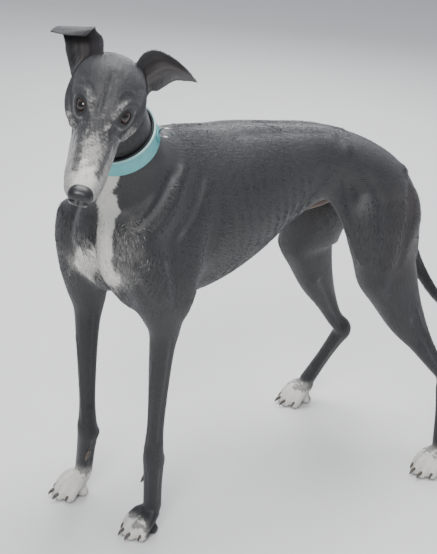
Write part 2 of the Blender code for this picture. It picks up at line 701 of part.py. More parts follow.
def nose_body(swell=0.0):
    rings = []
    for behind, top, bottom, half, widest, above, below in NOSE_RINGS:
        outline = ring_outline(top + swell, bottom - swell, half + swell, widest, above, below, 12)
        rings.append([head_point(side, behind, height) for side, height in outline])
    along = HEAD_MUZZLE
    rings[0] = [p - along * swell for p in rings[0]]
    rings[-1] = [p + along * swell for p in rings[-1]]
    return loft(rings)


def collar_axes():
    """Axes round the collar: its right, its front and the way up the neck."""
    right = (Vector((0, 1, 0)) - COLLAR_AXIS.y * COLLAR_AXIS).normalized()
    return right, right.cross(COLLAR_AXIS), COLLAR_AXIS


def collar_point(turn, radius, height):
    right, front, axis = collar_axes()
    reach = radius + COLLAR_TAPER * height
    return COLLAR_LOW + (right * math.cos(turn) + front * math.sin(turn)) * reach + axis * height


def band_body(inside, outside, low, high, start=0.0, end=2 * math.pi, steps=32):
    """A strip of the collar, all the way round or from one angle to another."""
    rings = []
    whole = end - start > 6
    for k in range(steps if whole else steps + 1):
        turn = start + (end - start) * k / steps
        corners = ((inside, low), (outside, low), (outside, high), (inside, high))
        rings.append([collar_point(turn, radius, height) for radius, height in corners])
    if not whole:
        return loft(rings)
    body = bmesh.new()
    loops = [[body.verts.new(p) for p in ring] for ring in rings]
    for low_ring, high_ring in zip(loops, loops[1:] + loops[:1]):
        for k in range(4):
            n = (k + 1) % 4
            body.faces.new((low_ring[k], low_ring[n], high_ring[n], high_ring[k]))
    return whole_faces(body)


def collar_ring_body(swell=0.0, steps=18, sides=6):
    """The metal ring, which passes through the tab and stands out from it."""
    right, front, axis = collar_axes()
    outward = right * math.cos(TAB_TURN) + front * math.sin(TAB_TURN)
    height = COLLAR_WIDTH / 2
    middle = collar_point(TAB_TURN, BAND_OUTSIDE + TAB_THICKNESS + RING_RADIUS * 0.95, height)
    rings = []
    for k in range(steps):
        turn = 2 * math.pi * k / steps
        spoke = outward * math.cos(turn) + axis * math.sin(turn)
        binormal = outward.cross(axis)
        wire = RING_WIRE + swell
        ring = []
        for j in range(sides):
            a = 2 * math.pi * j / sides
            ring.append(middle + spoke * (RING_RADIUS + wire * math.cos(a)) + binormal * wire * math.sin(a))
        rings.append(ring)
    body = bmesh.new()
    loops = [[body.verts.new(p) for p in ring] for ring in rings]
    for low, high in zip(loops, loops[1:] + loops[:1]):
        for k in range(sides):
            n = (k + 1) % sides
            body.faces.new((low[k], low[n], high[n], high[k]))
    return whole_faces(body)


def disc(middle, facing, reach):
    """A thin cut across the body."""
    body = bmesh.new()
    bmesh.ops.create_cone(body, cap_ends=True, segments=10, radius1=reach, radius2=reach, depth=GAP)
    turn = Vector((0, 0, 1)).rotation_difference(Vector(facing)).to_matrix().to_4x4()
    bmesh.ops.transform(body, matrix=Matrix.Translation(middle) @ turn, verts=body.verts)
    return body


def upper_leg_wall(name):
    """A thin closed wall round the part of the shoulder or thigh that belongs to the leg."""
    joints = leg_joints(LEGS[name])
    outward = 1 if name.endswith("right") else -1
    rows = []
    for bone, place, shift, half, front, back in UPPER_FORE if name.startswith("fore") else UPPER_HIND:
        middle = joints[bone].lerp(joints[bone + 1], place) + Vector((0, outward * shift, 0))
        rows.append((*middle, half, front, back))
    return tube(rows, sides=10)


def limb_cuts(name):
    joints = leg_joints(LEGS[name])
    bone = joints[2] - joints[1]
    yield disc(joints[2] - bone.normalized() * 0.012, bone, LIMB_CUT_REACH)
    foot = joints[3].lerp(joints[2], (PAW_CUT_HEIGHT - joints[3].z) / (joints[2].z - joints[3].z))
    yield disc(foot, (0, 0, 1), LIMB_CUT_REACH)


def evaluated_mesh(made):
    bpy.context.view_layer.update()
    return bpy.data.meshes.new_from_object(made.evaluated_get(bpy.context.evaluated_depsgraph_get()))


def settle(made):
    """Applies an object's modifiers."""
    mesh = evaluated_mesh(made)
    made.modifiers.clear()
    made.data = mesh
    return made


def softness(points):
    """How far each point of the skin is smoothed: much on the trunk, little on face and paws."""
    from_face = np.linalg.norm(points - np.array(head_point(0, FACE_MIDDLE, 0)), axis=1)
    face = np.clip((from_face - FACE_REACH[0]) / (FACE_REACH[1] - FACE_REACH[0]), 0, 1)
    legs = np.clip((points[:, 2] - LEG_REACH[0]) / (LEG_REACH[1] - LEG_REACH[0]), 0, 1)
    return LEAST_SOFT + (1 - LEAST_SOFT) * np.minimum(face, legs**LEG_EASE)


def smooth_skin(mesh, rounds):
    """Repeatedly moves each vertex towards the middle of its neighbours."""
    count = len(mesh.vertices)
    points = np.empty(count * 3)
    mesh.vertices.foreach_get("co", points)
    points = points.reshape(-1, 3)
    edges = np.empty(len(mesh.edges) * 2, int)
    mesh.edges.foreach_get("vertices", edges)
    a, b = edges.reshape(-1, 2).T
    degree = np.bincount(np.concatenate([a, b]), minlength=count)
    share = softness(points)[:, None] * MOST_SHARE
    for _ in range(rounds):
        total = np.empty_like(points)
        for axis in range(3):
            total[:, axis] = np.bincount(a, points[b, axis], count) + np.bincount(b, points[a, axis], count)
        points += share * (total / degree[:, None] - points)
    mesh.vertices.foreach_set("co", points.ravel())
    mesh.update()


def whole_skin():
    flesh = joined("flesh", flesh_bodies())
    remesh = flesh.modifiers.new("Remesh", "REMESH")
    remesh.mode = "VOXEL"
    remesh.voxel_size = VOXEL
    settle(flesh)
    smooth_skin(flesh.data, SMOOTHING_ROUNDS)
    fewer = flesh.modifiers.new("Decimate", "DECIMATE")
    fewer.ratio = FLESH_TRIANGLES / (2 * len(flesh.data.polygons))
    return settle(flesh)


def cutters():
    """Everything that is taken out of the skin: thin cuts, and the room for eyes, nose, claws and ears."""
    bodies = [disc(*cut) for cut in NECK_CUTS + TAIL_CUTS]
    for name in LEGS:
        bodies += limb_cuts(name)
    bodies += [body for _, body in claw_bodies(CLAW_ROOM)]
    bodies += [eye_opening(side) for side in (1, -1)]
    bodies.append(nose_body(GAP))
    low, high = -LINING_EDGE - GAP, COLLAR_WIDTH + LINING_EDGE + GAP
    bodies.append(band_body(LINING_INSIDE - GAP, COLLAR_ROOM, low, high))
    yield joined("cuts", bodies)
    block = bmesh.new()
    bmesh.ops.create_cube(block, size=1)
    bmesh.ops.scale(block, vec=GROUND_BLOCK, verts=block.verts)
    bmesh.ops.translate(block, vec=(ORIGIN.x, ORIGIN.y, -GROUND_BLOCK[2] / 2), verts=block.verts)
    yield linked("below_floor", block)
    yield joined("eye_rooms", [ball(eye_centre(side), EYE_RADIUS + GAP) for side in (1, -1)])
    for name in LEGS:
        yield walled(linked(f"wall_{name}", upper_leg_wall(name)), GAP)
    for name in EARS:
        yield ear(name, EAR_THICKNESS + EAR_SLOT, SLOT_REACH, "slot_")


def material(slot):
    """The material of a slot, made when it is first asked for."""
    made = bpy.data.materials.get(slot)
    if made is None:
        colour, roughness, metallic = SLOTS[slot]
        made = bpy.data.materials.new(slot)
        made.use_nodes = True
        shader = made.node_tree.nodes["Principled BSDF"]
        shader.inputs["Base Color"].default_value = (*colour, 1)
        shader.inputs["Roughness"].default_value = roughness
        shader.inputs["Metallic"].default_value = metallic
    return made


def finish(made):
    """Gives a part its material and smooth shading, and moves it to the model's own frame."""
    name = made.name
    slot = next(slot for start, end, slot in NODE_SLOTS if name.startswith(start) and name.endswith(end))
    made.data.materials.clear()
    made.data.materials.append(material(slot))
    for face in made.data.polygons:
        face.use_smooth = True
    for vertex in made.data.vertices:
        vertex.co -= ORIGIN


def cut(made, cutters_used):
    """Takes the cutters out of an object, applies that and removes them."""
    for cutter in cutters_used:
        difference = made.modifiers.new(cutter.name, "BOOLEAN")
        difference.operation = "DIFFERENCE"
        difference.solver = "EXACT"
        difference.object = cutter
        cutter.hide_render = True
        cutter.display_type = "WIRE"
    settle(made)
    for cutter in cutters_used:
        bpy.data.objects.remove(cutter, do_unlink=True)


def loose_bodies(mesh):
    """The separate closed bodies of a mesh, as bmeshes, the largest first."""
    whole = bmesh.new()
    whole.from_mesh(mesh)
    left = set(whole.faces)
    groups = []
    while left:
        start = left.pop()
        group, edge_of = [start], [start]
        while edge_of:
            face = edge_of.pop()
            for edge in face.edges:
                for other in edge.link_faces:
                    if other in left:
                        left.discard(other)
                        group.append(other)
                        edge_of.append(other)
        groups.append(group)
    bodies = []
    for group in groups:
        body = bmesh.new()
        made = {}
        for face in group:
            corners = []
            for vert in face.verts:
                if vert not in made:
                    made[vert] = body.verts.new(vert.co)
                corners.append(made[vert])
            twin = body.faces.get(corners)
            if twin:  # two faces back to back enclose nothing
                body.faces.remove(twin)
            else:
                body.faces.new(corners)
        bodies.append(body)
    whole.free()
    return sorted(bodies, key=lambda body: -body.calc_volume())


def middle_of(body):
    return sum((v.co for v in body.verts), Vector()) / len(body.verts)


def part_middles():
    """Roughly where the middle of each piece of the body is, by which it gets its name."""
    middles = {
        "head": head_point(0, 0.12, 0),
        "neck": Vector((-0.275, -0.033, 0.690)),
        "trunk": Vector((0.0, 0.0, 0.56)),
        "tail_root": Vector((0.404, -0.028, 0.375)),
        "tail_tip": Vector((0.52, -0.046, 0.25)),
    }
    for name, data in LEGS.items():
        joints = leg_joints(data)
        middles[f"{name}_upper"] = joints[0].lerp(joints[1], 0.6)
        middles[f"{name}_lower"] = joints[1].lerp(joints[2], 0.55)
        middles[f"{name}_pastern"] = joints[2].lerp(joints[3], 0.4)
        middles[f"{name}_paw"] = paw_point(name, 0, 0.01, 0.02)
    return middles


def name_flesh(flesh):
    """Makes each loose piece of the cut skin an object of its own, named by where it is."""
    middles = part_middles()
    for body in loose_bodies(flesh.data):
        if body.calc_volume() < LEAST_VOLUME:
            body.free()
            continue
        middle = middle_of(body)
        name = min(middles, key=lambda n: (middles[n] - middle).length)
        middles.pop(name)
        linked(name, body)
    bpy.data.objects.remove(flesh, do_unlink=True)


def collar():
    linked("collar_band", band_body(BAND_INSIDE, BAND_OUTSIDE, 0, COLLAR_WIDTH))
    low = -LINING_EDGE
    linked("collar_lining", band_body(LINING_INSIDE, BAND_INSIDE - GAP, low, COLLAR_WIDTH + LINING_EDGE))
    half = TAB_SIZE[0] / 2 / BAND_OUTSIDE
    low = (COLLAR_WIDTH - TAB_SIZE[1]) / 2
    around = (low, low + TAB_SIZE[1], TAB_TURN - half, TAB_TURN + half, 4)
    tab = linked("collar_tab", band_body(BAND_OUTSIDE + GAP, BAND_OUTSIDE + TAB_THICKNESS, *around))
    cut(tab, [linked("ring_room", collar_ring_body(GAP))])
    linked("collar_ring", collar_ring_body())


def main():
    clear_scene()
    flesh = whole_skin()
    cut(flesh, list(cutters()))
    name_flesh(flesh)
    for name in EARS:
        settle(ear(name, EAR_THICKNESS))
    for name, body in claw_bodies():
        linked(name, body)
    for name, side in (("eye_right", 1), ("eye_left", -1)):
        linked(name, ball(eye_centre(side), EYE_RADIUS))
    linked("nose", nose_body())
    collar()
    for made in bpy.context.scene.objects:
        finish(made)


main()
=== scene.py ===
"""The looks of a life-size standing greyhound: one skin with its short coat, and eyes, nose,
claws and collar.

Shapes are made in the pose frame, where the animal faces -X, its left side is -Y and the
floor is Z = 0, and move to the model's frame when they are finished.
"""

import json
import math

import bmesh
import bpy
import numpy as np
from mathutils import Matrix, Vector
from mathutils.kdtree import KDTree

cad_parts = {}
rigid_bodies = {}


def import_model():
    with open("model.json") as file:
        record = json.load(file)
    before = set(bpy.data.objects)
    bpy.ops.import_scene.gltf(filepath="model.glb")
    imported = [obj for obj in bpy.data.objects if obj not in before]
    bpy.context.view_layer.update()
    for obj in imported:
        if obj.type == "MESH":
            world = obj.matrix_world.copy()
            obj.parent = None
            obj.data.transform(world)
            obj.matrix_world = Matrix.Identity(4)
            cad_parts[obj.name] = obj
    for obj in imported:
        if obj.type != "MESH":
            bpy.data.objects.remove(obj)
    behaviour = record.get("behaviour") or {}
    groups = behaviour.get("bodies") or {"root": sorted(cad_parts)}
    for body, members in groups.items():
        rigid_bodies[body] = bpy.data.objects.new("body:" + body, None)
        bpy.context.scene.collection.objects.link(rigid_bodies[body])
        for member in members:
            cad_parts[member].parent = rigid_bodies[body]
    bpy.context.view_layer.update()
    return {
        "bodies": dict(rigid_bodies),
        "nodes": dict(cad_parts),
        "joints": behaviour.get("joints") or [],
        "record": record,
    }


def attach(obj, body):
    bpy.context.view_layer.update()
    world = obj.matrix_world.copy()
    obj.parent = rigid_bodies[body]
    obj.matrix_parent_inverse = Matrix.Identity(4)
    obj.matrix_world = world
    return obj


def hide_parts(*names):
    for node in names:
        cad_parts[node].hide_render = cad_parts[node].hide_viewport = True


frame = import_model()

ORIGIN = Vector((0.0692, -0.0285, 0.0))  # the model's origin in the pose frame

# The camera in the pose frame
CAMERA_PLACE = Vector((-1.28638, -1.66323, 1.312))
CAMERA_YAW, CAMERA_PITCH, CAMERA_ROLL = math.radians(36.8), math.radians(23.6), math.radians(5.0)
CAMERA_REACH = 1300  # its focal length in pixels of the picture
PICTURE_HEIGHT = 554
SENSOR = 36

# The skin: voxel sizes, and the spread of its smoothing as in the solids
BODY_VOXEL = 0.0026
HEAD_VOXEL = 0.00125
SMOOTHING_SPREAD = 0.0114
MOST_SHARE = 0.8
LEAST_SOFT = 0.06
EAR_SOFT = 0.014
EAR_WALL = 0.0042
COAT_DEPTH = 0.0010

SPINE_PIVOT = -0.05  # where the back bends
SPINE_BEND = math.radians(4.1)  # each half turns this far to the animal's left
SPINE_SOFTNESS = 0.09
SPINE_OFFSET = 0.003
# Trunk rings: along the back, top, bottom, half width, height of the widest place,
# roundness above it and below it (2 is an ellipse)
TRUNK_RINGS = (
    (-0.312, 0.580, 0.512, 0.026, 0.546, 2.0, 2.0),
    (-0.300, 0.622, 0.476, 0.050, 0.550, 2.0, 2.0),
    (-0.275, 0.660, 0.436, 0.072, 0.552, 2.0, 2.0),
    (-0.235, 0.690, 0.408, 0.086, 0.545, 1.9, 2.0),
    (-0.190, 0.700, 0.399, 0.093, 0.540, 1.8, 1.9),
    (-0.150, 0.698, 0.397, 0.096, 0.540, 1.8, 1.8),
    (-0.100, 0.693, 0.401, 0.098, 0.545, 1.9, 1.8),
    (-0.050, 0.691, 0.417, 0.098, 0.555, 2.0, 1.8),
    (0.000, 0.686, 0.446, 0.093, 0.570, 2.1, 1.9),
    (0.050, 0.680, 0.484, 0.084, 0.587, 2.2, 2.0),
    (0.100, 0.675, 0.517, 0.074, 0.603, 2.3, 2.1),
    (0.145, 0.666, 0.535, 0.070, 0.607, 2.3, 2.1),
    (0.190, 0.653, 0.536, 0.074, 0.602, 2.2, 2.1),
    (0.240, 0.634, 0.526, 0.077, 0.587, 2.1, 2.0),
    (0.290, 0.606, 0.500, 0.072, 0.560, 2.0, 2.0),
    (0.325, 0.572, 0.486, 0.056, 0.532, 2.0, 2.0),
    (0.346, 0.545, 0.500, 0.028, 0.522, 2.0, 2.0),
)
# Neck rings: centre, half width, reach to the throat, reach to the crest
NECK_RINGS = (
    ((-0.190, -0.014, 0.560), 0.072, 0.095, 0.100),
    ((-0.222, -0.016, 0.604), 0.071, 0.086, 0.092),
    ((-0.253, -0.022, 0.648), 0.066, 0.074, 0.076),
    ((-0.279, -0.033, 0.686), 0.060, 0.063, 0.063),
    ((-0.303, -0.051, 0.727), 0.056, 0.056, 0.057),
    ((-0.324, -0.073, 0.768), 0.053, 0.052, 0.053),
    ((-0.340, -0.096, 0.800), 0.046, 0.044, 0.044),
)
# The head's own axes, seen from the animal: right, muzzle and crown
NOSE_TIP = Vector((-0.4504, -0.2154, 0.6860))
HEAD_RIGHT = Vector((-0.8086, 0.5486, 0.2141)).normalized()
HEAD_MUZZLE = Vector((-0.5631, -0.6115, -0.5564)).normalized()
HEAD_CROWN = HEAD_RIGHT.cross(HEAD_MUZZLE).normalized()
# Head rings: behind the nose tip, top, bottom, half width, widest height, roundness
HEAD_RINGS = (
    (0.236, 0.034, 0.000, 0.026, 0.016, 2.0, 2.0),
    (0.226, 0.049, -0.022, 0.041, 0.014, 2.0, 2.0),
    (0.210, 0.060, -0.042, 0.050, 0.012, 2.0, 2.0),
    (0.188, 0.0655, -0.052, 0.0545, 0.010, 2.1, 2.0),
    (0.164, 0.062, -0.054, 0.052, 0.007, 2.2, 2.0),
    (0.145, 0.055, -0.051, 0.047, 0.003, 2.2, 2.0),
    (0.125, 0.045, -0.047, 0.0395, -0.001, 2.2, 2.1),
    (0.105, 0.037, -0.044, 0.0330, -0.005, 2.2, 2.2),
    (0.082, 0.030, -0.041, 0.0305, -0.008, 2.2, 2.3),
    (0.058, 0.0245, -0.039, 0.0295, -0.012, 2.1, 2.4),
    (0.034, 0.0200, -0.037, 0.0285, -0.014, 2.1, 2.4),
    (0.016, 0.0165, -0.032, 0.0240, -0.012, 2.2, 2.4),
    (0.005, 0.0130, -0.024, 0.0170, -0.008, 2.2, 2.2),
)
# Legs: joints from the body down, then the paw's middle and heading
LEGS = {
    "foreleg_left": {
        "joints": ((-0.287, -0.088, 0.556), (-0.2148, -0.0946, 0.394), (-0.2205, -0.0985, 0.141)),
        "paw": (-0.2270, -0.1010),
        "heading": math.radians(186),
    },
    "foreleg_right": {
        "joints": ((-0.300, 0.072, 0.540), (-0.2605, 0.0740, 0.375), (-0.2680, 0.0420, 0.133)),
        "paw": (-0.2745, 0.0560),
        "heading": math.radians(177),
    },
    "hindleg_left": {
        "joints": ((0.240, -0.072, 0.596), (0.2180, -0.1090, 0.386), (0.3950, -0.1600, 0.178)),
        "paw": (0.3690, -0.1930),
        "heading": math.radians(186),
    },
    "hindleg_right": {
        "joints": ((0.225, 0.052, 0.596), (0.1800, 0.0780, 0.392), (0.3440, 0.0880, 0.178)),
        "paw": (0.3050, 0.1420),
        "heading": math.radians(176),
    },
}
# Leg rings: bone, place along it, half width, reach forward, reach back
FORELEG_RINGS = (
    (0, 0.02, 0.030, 0.026, 0.038),
    (0, 0.22, 0.037, 0.035, 0.052),
    (0, 0.55, 0.037, 0.038, 0.054),
    (0, 0.85, 0.032, 0.034, 0.046),
    (1, 0.04, 0.0250, 0.0270, 0.0340),
    (1, 0.15, 0.0225, 0.0240, 0.0250),
    (1, 0.32, 0.0205, 0.0215, 0.0200),
    (1, 0.52, 0.0180, 0.0185, 0.0170),
    (1, 0.76, 0.0155, 0.0155, 0.0155),
    (1, 0.92, 0.0172, 0.0168, 0.0180),
    (2, 0.00, 0.0192, 0.0178, 0.0205),
    (2, 0.20, 0.0188, 0.0168, 0.0198),
    (2, 0.55, 0.0178, 0.0158, 0.0175),
    (2, 1.00, 0.0182, 0.0152, 0.0168),
)
HINDLEG_RINGS = (
    (0, 0.12, 0.026, 0.036, 0.050),
    (0, 0.30, 0.038, 0.062, 0.092),
    (0, 0.52, 0.042, 0.066, 0.104),
    (0, 0.78, 0.039, 0.042, 0.108),
    (1, 0.00, 0.0340, 0.0180, 0.1100),
    (1, 0.16, 0.0300, 0.0210, 0.0920),
    (1, 0.38, 0.0235, 0.0250, 0.0600),
    (1, 0.62, 0.0170, 0.0180, 0.0350),
    (1, 0.84, 0.0140, 0.0150, 0.0215),
    (2, -0.04, 0.0165, 0.0180, 0.0210),
    (2, 0.15, 0.0160, 0.0165, 0.0180),
    (2, 0.50, 0.0145, 0.0138, 0.0148),
    (2, 1.00, 0.0170, 0.0145, 0.0155),
)
FETLOCK_HEIGHT = 0.047
FETLOCK_BACK = 0.010
CAP_TURNS = (math.radians(38), math.radians(68))
# One paw: each toe's place to the side and its reach, then the toe's path as shares of them
TOES = ((-0.0205, 0.028), (-0.0075, 0.042), (0.0080, 0.042), (0.0205, 0.029))
TOE_PATH = (
    (0.45, -0.35, 0.0380, 0.0100),
    (0.80, 0.20, 0.0320, 0.0108),
    (1.00, 0.62, 0.0215, 0.0102),
    (1.08, 0.86, 0.0098, 0.0096),
    (1.08, 0.92, 0.0064, 0.0088),
)
PAD_PATH = ((-0.0110, -0.0050, 0.0086), (0.0, -0.0010, 0.0090), (0.0110, -0.0050, 0.0086))
PAD_RADIUS = 0.0118
HEEL_TOP = (0.0150, 0.0130, 0.0130)
HEEL_FOOT = (0.0, -0.0020, 0.0140, 0.0165, 0.0135, 0.0125)  # place on the paw, then sizes
DEWCLAW_TAPER = ((0.0, 0.0034), (0.35, 0.0032), (0.7, 0.0024), (1.0, 0.0010))
CLAW_PATH = (
    (1.10, 0.93, 0.0125, 0.0034),
    (1.12, 1.06, 0.0122, 0.0031),
    (1.13, 1.18, 0.0095, 0.0023),
    (1.13, 1.26, 0.0055, 0.0011),
)
DEWCLAW_PLACE = 0.42  # along the pastern, on its inner side
DEWCLAW_ROOT = (0.0165, 0.002)  # inward and ahead of the bone
DEWCLAW_TIP = Vector((0.007, 0.003, -0.015))  # ahead, inward and down from its root
HIND_TOE_STRETCH = 1.10
# Head details in head coordinates: to one side, behind the nose tip, towards the crown
EYE_CENTRE = (0.0271, 0.1365, 0.0255)
EYE_RADIUS = 0.0115
LID_RADIUS = 0.0142
LID_GAP = (0.0372, 0.1290, 0.0305)
NOSE_RINGS = (
    (0.015, 0.0125, -0.0125, 0.0135, 0.000, 2.2, 2.2),
    (0.008, 0.0160, -0.0150, 0.0172, 0.001, 2.3, 2.3),
    (0.001, 0.0165, -0.0150, 0.0180, 0.001, 2.4, 2.3),
    (-0.005, 0.0140, -0.0130, 0.0160, 0.001, 2.4, 2.3),
    (-0.009, 0.0080, -0.0080, 0.0100, 0.001, 2.2, 2.2),
)
# Muscles and ridges of the face: side, behind the nose tip, towards the crown, radius
FACE_STRANDS = (
    ((0.037, 0.112, 0.006, 0.0060), (0.048, 0.140, 0.006, 0.0075),
     (0.0515, 0.168, 0.010, 0.0080), (0.046, 0.200, 0.020, 0.0080)),
    ((0.014, 0.116, 0.034, 0.0055), (0.021, 0.134, 0.042, 0.0065),
     (0.033, 0.151, 0.040, 0.0065), (0.044, 0.160, 0.026, 0.0060)),
    ((0.040, 0.150, -0.014, 0.0130), (0.040, 0.178, -0.026, 0.0180), (0.036, 0.204, -0.036, 0.0160)),
    ((0.009, 0.012, -0.030, 0.0065), (0.019, 0.050, -0.034, 0.0080),
     (0.022, 0.100, -0.042, 0.0090), (0.030, 0.160, -0.048, 0.0100)),
    ((0.014, 0.012, -0.014, 0.0065), (0.0225, 0.040, -0.018, 0.0075),
     (0.0245, 0.075, -0.022, 0.0080), (0.028, 0.110, -0.022, 0.0075)),
)
EAR_COLUMNS = 5
# Ear rows from the skull to the free rim: inner edge, outer edge, bulge of the ear's back
EARS = {
    "ear_right": (
        ((0.0215, 0.196, 0.046), (0.0570, 0.188, 0.014), 0.010),
        ((0.0207, 0.207, 0.056), (0.0653, 0.199, 0.026), 0.014),
        ((0.0230, 0.217, 0.064), (0.0744, 0.210, 0.040), 0.016),
        ((0.0277, 0.229, 0.068), (0.0795, 0.222, 0.046), 0.015),
        ((0.0405, 0.2390, 0.0680), (0.0897, 0.2360, 0.0520), 0.008),
        ((0.0400, 0.2385, 0.0735), (0.0930, 0.2335, 0.0570), -0.010),
        ((0.0435, 0.2290, 0.0755), (0.0975, 0.2270, 0.0590), -0.013),
        ((0.0500, 0.2170, 0.0720), (0.1018, 0.2155, 0.0620), -0.010),
    ),
    "ear_left": (
        ((0.0240, 0.198, 0.044), (0.0540, 0.184, 0.010), 0.010),
        ((0.0277, 0.214, 0.055), (0.0587, 0.195, 0.022), 0.014),
        ((0.0330, 0.224, 0.064), (0.0667, 0.194, 0.028), 0.017),
        ((0.0433, 0.234, 0.066), (0.0757, 0.200, 0.036), 0.016),
        ((0.0575, 0.238, 0.064), (0.0869, 0.210, 0.042), 0.012),
        ((0.0781, 0.236, 0.060), (0.0996, 0.213, 0.044), 0.007),
        ((0.0989, 0.229, 0.054), (0.1110, 0.2144, 0.046), 0.003),
        ((0.1180, 0.217, 0.047), (0.1200, 0.2150, 0.0455), 0.0003),
    ),
}
EAR_BULGE = (0.0, 0.80, -0.60)  # in head coordinates
# Collar: a padded band round the middle of the neck
COLLAR_LOW = Vector((-0.2831, -0.0359, 0.6905))  # middle of its lower edge
COLLAR_AXIS = Vector((-0.468, -0.358, 0.808)).normalized()
COLLAR_WIDTH = 0.030
LINING_EDGE = 0.002  # how far the lining stands past both edges of the band
LINING_INSIDE = 0.0600  # radius at the lower edge
BAND_INSIDE = 0.0628
BAND_OUTSIDE = 0.0655
COLLAR_TAPER = -0.075  # change of radius for each metre upwards
TAB_THICKNESS = 0.0022
TAB_SIZE = (0.024, 0.016)
TAB_TURN = math.radians(132)  # where the tab and its ring sit, round the collar
RING_RADIUS = 0.0105
RING_WIRE = 0.0016
# Muscles of the left side: centre, half width, reach forward, reach back
SHOULDER_BLADE = (
    ((-0.196, -0.040, 0.640), 0.022, 0.026, 0.026),
    ((-0.218, -0.058, 0.610), 0.026, 0.036, 0.036),
    ((-0.250, -0.067, 0.570), 0.027, 0.038, 0.044),
    ((-0.280, -0.062, 0.528), 0.027, 0.030, 0.040),
    ((-0.278, -0.062, 0.490), 0.024, 0.022, 0.034),
)
TRICEPS = (
    ((-0.180, -0.062, 0.575), 0.024, 0.036, 0.034),
    ((-0.186, -0.076, 0.520), 0.028, 0.048, 0.042),
    ((-0.194, -0.084, 0.465), 0.027, 0.046, 0.036),
    ((-0.203, -0.088, 0.415), 0.021, 0.030, 0.026),
)
PECTORAL = (
    ((-0.296, -0.028, 0.566), 0.026, 0.020, 0.030),
    ((-0.298, -0.031, 0.520), 0.032, 0.024, 0.034),
    ((-0.282, -0.035, 0.470), 0.033, 0.024, 0.034),
    ((-0.258, -0.040, 0.432), 0.027, 0.020, 0.028),
)
# Rows that run backwards reach down and up instead
CROUP = (
    ((0.140, -0.034, 0.612), 0.028, 0.026, 0.030),
    ((0.185, -0.042, 0.600), 0.035, 0.040, 0.038),
    ((0.235, -0.047, 0.580), 0.037, 0.046, 0.036),
    ((0.280, -0.046, 0.556), 0.032, 0.042, 0.028),
    ((0.300, -0.043, 0.545), 0.024, 0.028, 0.018),
)
HAMSTRING = (
    ((0.304, -0.058, 0.535), 0.024, 0.030, 0.026),
    ((0.294, -0.074, 0.500), 0.028, 0.044, 0.034),
    ((0.272, -0.086, 0.460), 0.026, 0.044, 0.032),
    ((0.254, -0.094, 0.420), 0.020, 0.034, 0.026),
)
FLANK_FOLD = (
    ((0.142, -0.050, 0.578), 0.016, 0.028, 0.034),
    ((0.163, -0.062, 0.535), 0.013, 0.024, 0.038),
    ((0.182, -0.076, 0.485), 0.012, 0.020, 0.038),
    ((0.200, -0.088, 0.440), 0.013, 0.018, 0.030),
)
TAIL_RINGS = (
    ((0.300, -0.015, 0.565), 0.024),
    ((0.328, -0.017, 0.549), 0.021),
    ((0.350, -0.020, 0.508), 0.0185),
    ((0.366, -0.022, 0.455), 0.0172),
    ((0.389, -0.026, 0.400), 0.0158),
    ((0.420, -0.030, 0.347), 0.0140),
    ((0.462, -0.036, 0.293), 0.0120),
    ((0.507, -0.044, 0.252), 0.0100),
    ((0.556, -0.052, 0.225), 0.0078),
    ((0.603, -0.057, 0.214), 0.0054),
)
# Sheath rings: centre, half width, depth
SHEATH_RINGS = (
    ((0.098, -0.010, 0.530), 0.010, 0.012),
    ((0.118, -0.011, 0.520), 0.013, 0.015),
    ((0.150, -0.012, 0.523), 0.014, 0.016),
    ((0.185, -0.013, 0.530), 0.014, 0.015),
    ((0.220, -0.014, 0.533), 0.013, 0.013),
)
LID_SLANT = (-0.75, 0.66, -0.10)  # towards the inner corner: right, muzzle and crown
LID_CUT = Vector((0.0122, 0.0097, 0.0190))  # half sizes of the almond
LID_PINCH = 0.28
EYE_ROOM = 0.0002
COLLAR_ROOM = 0.010

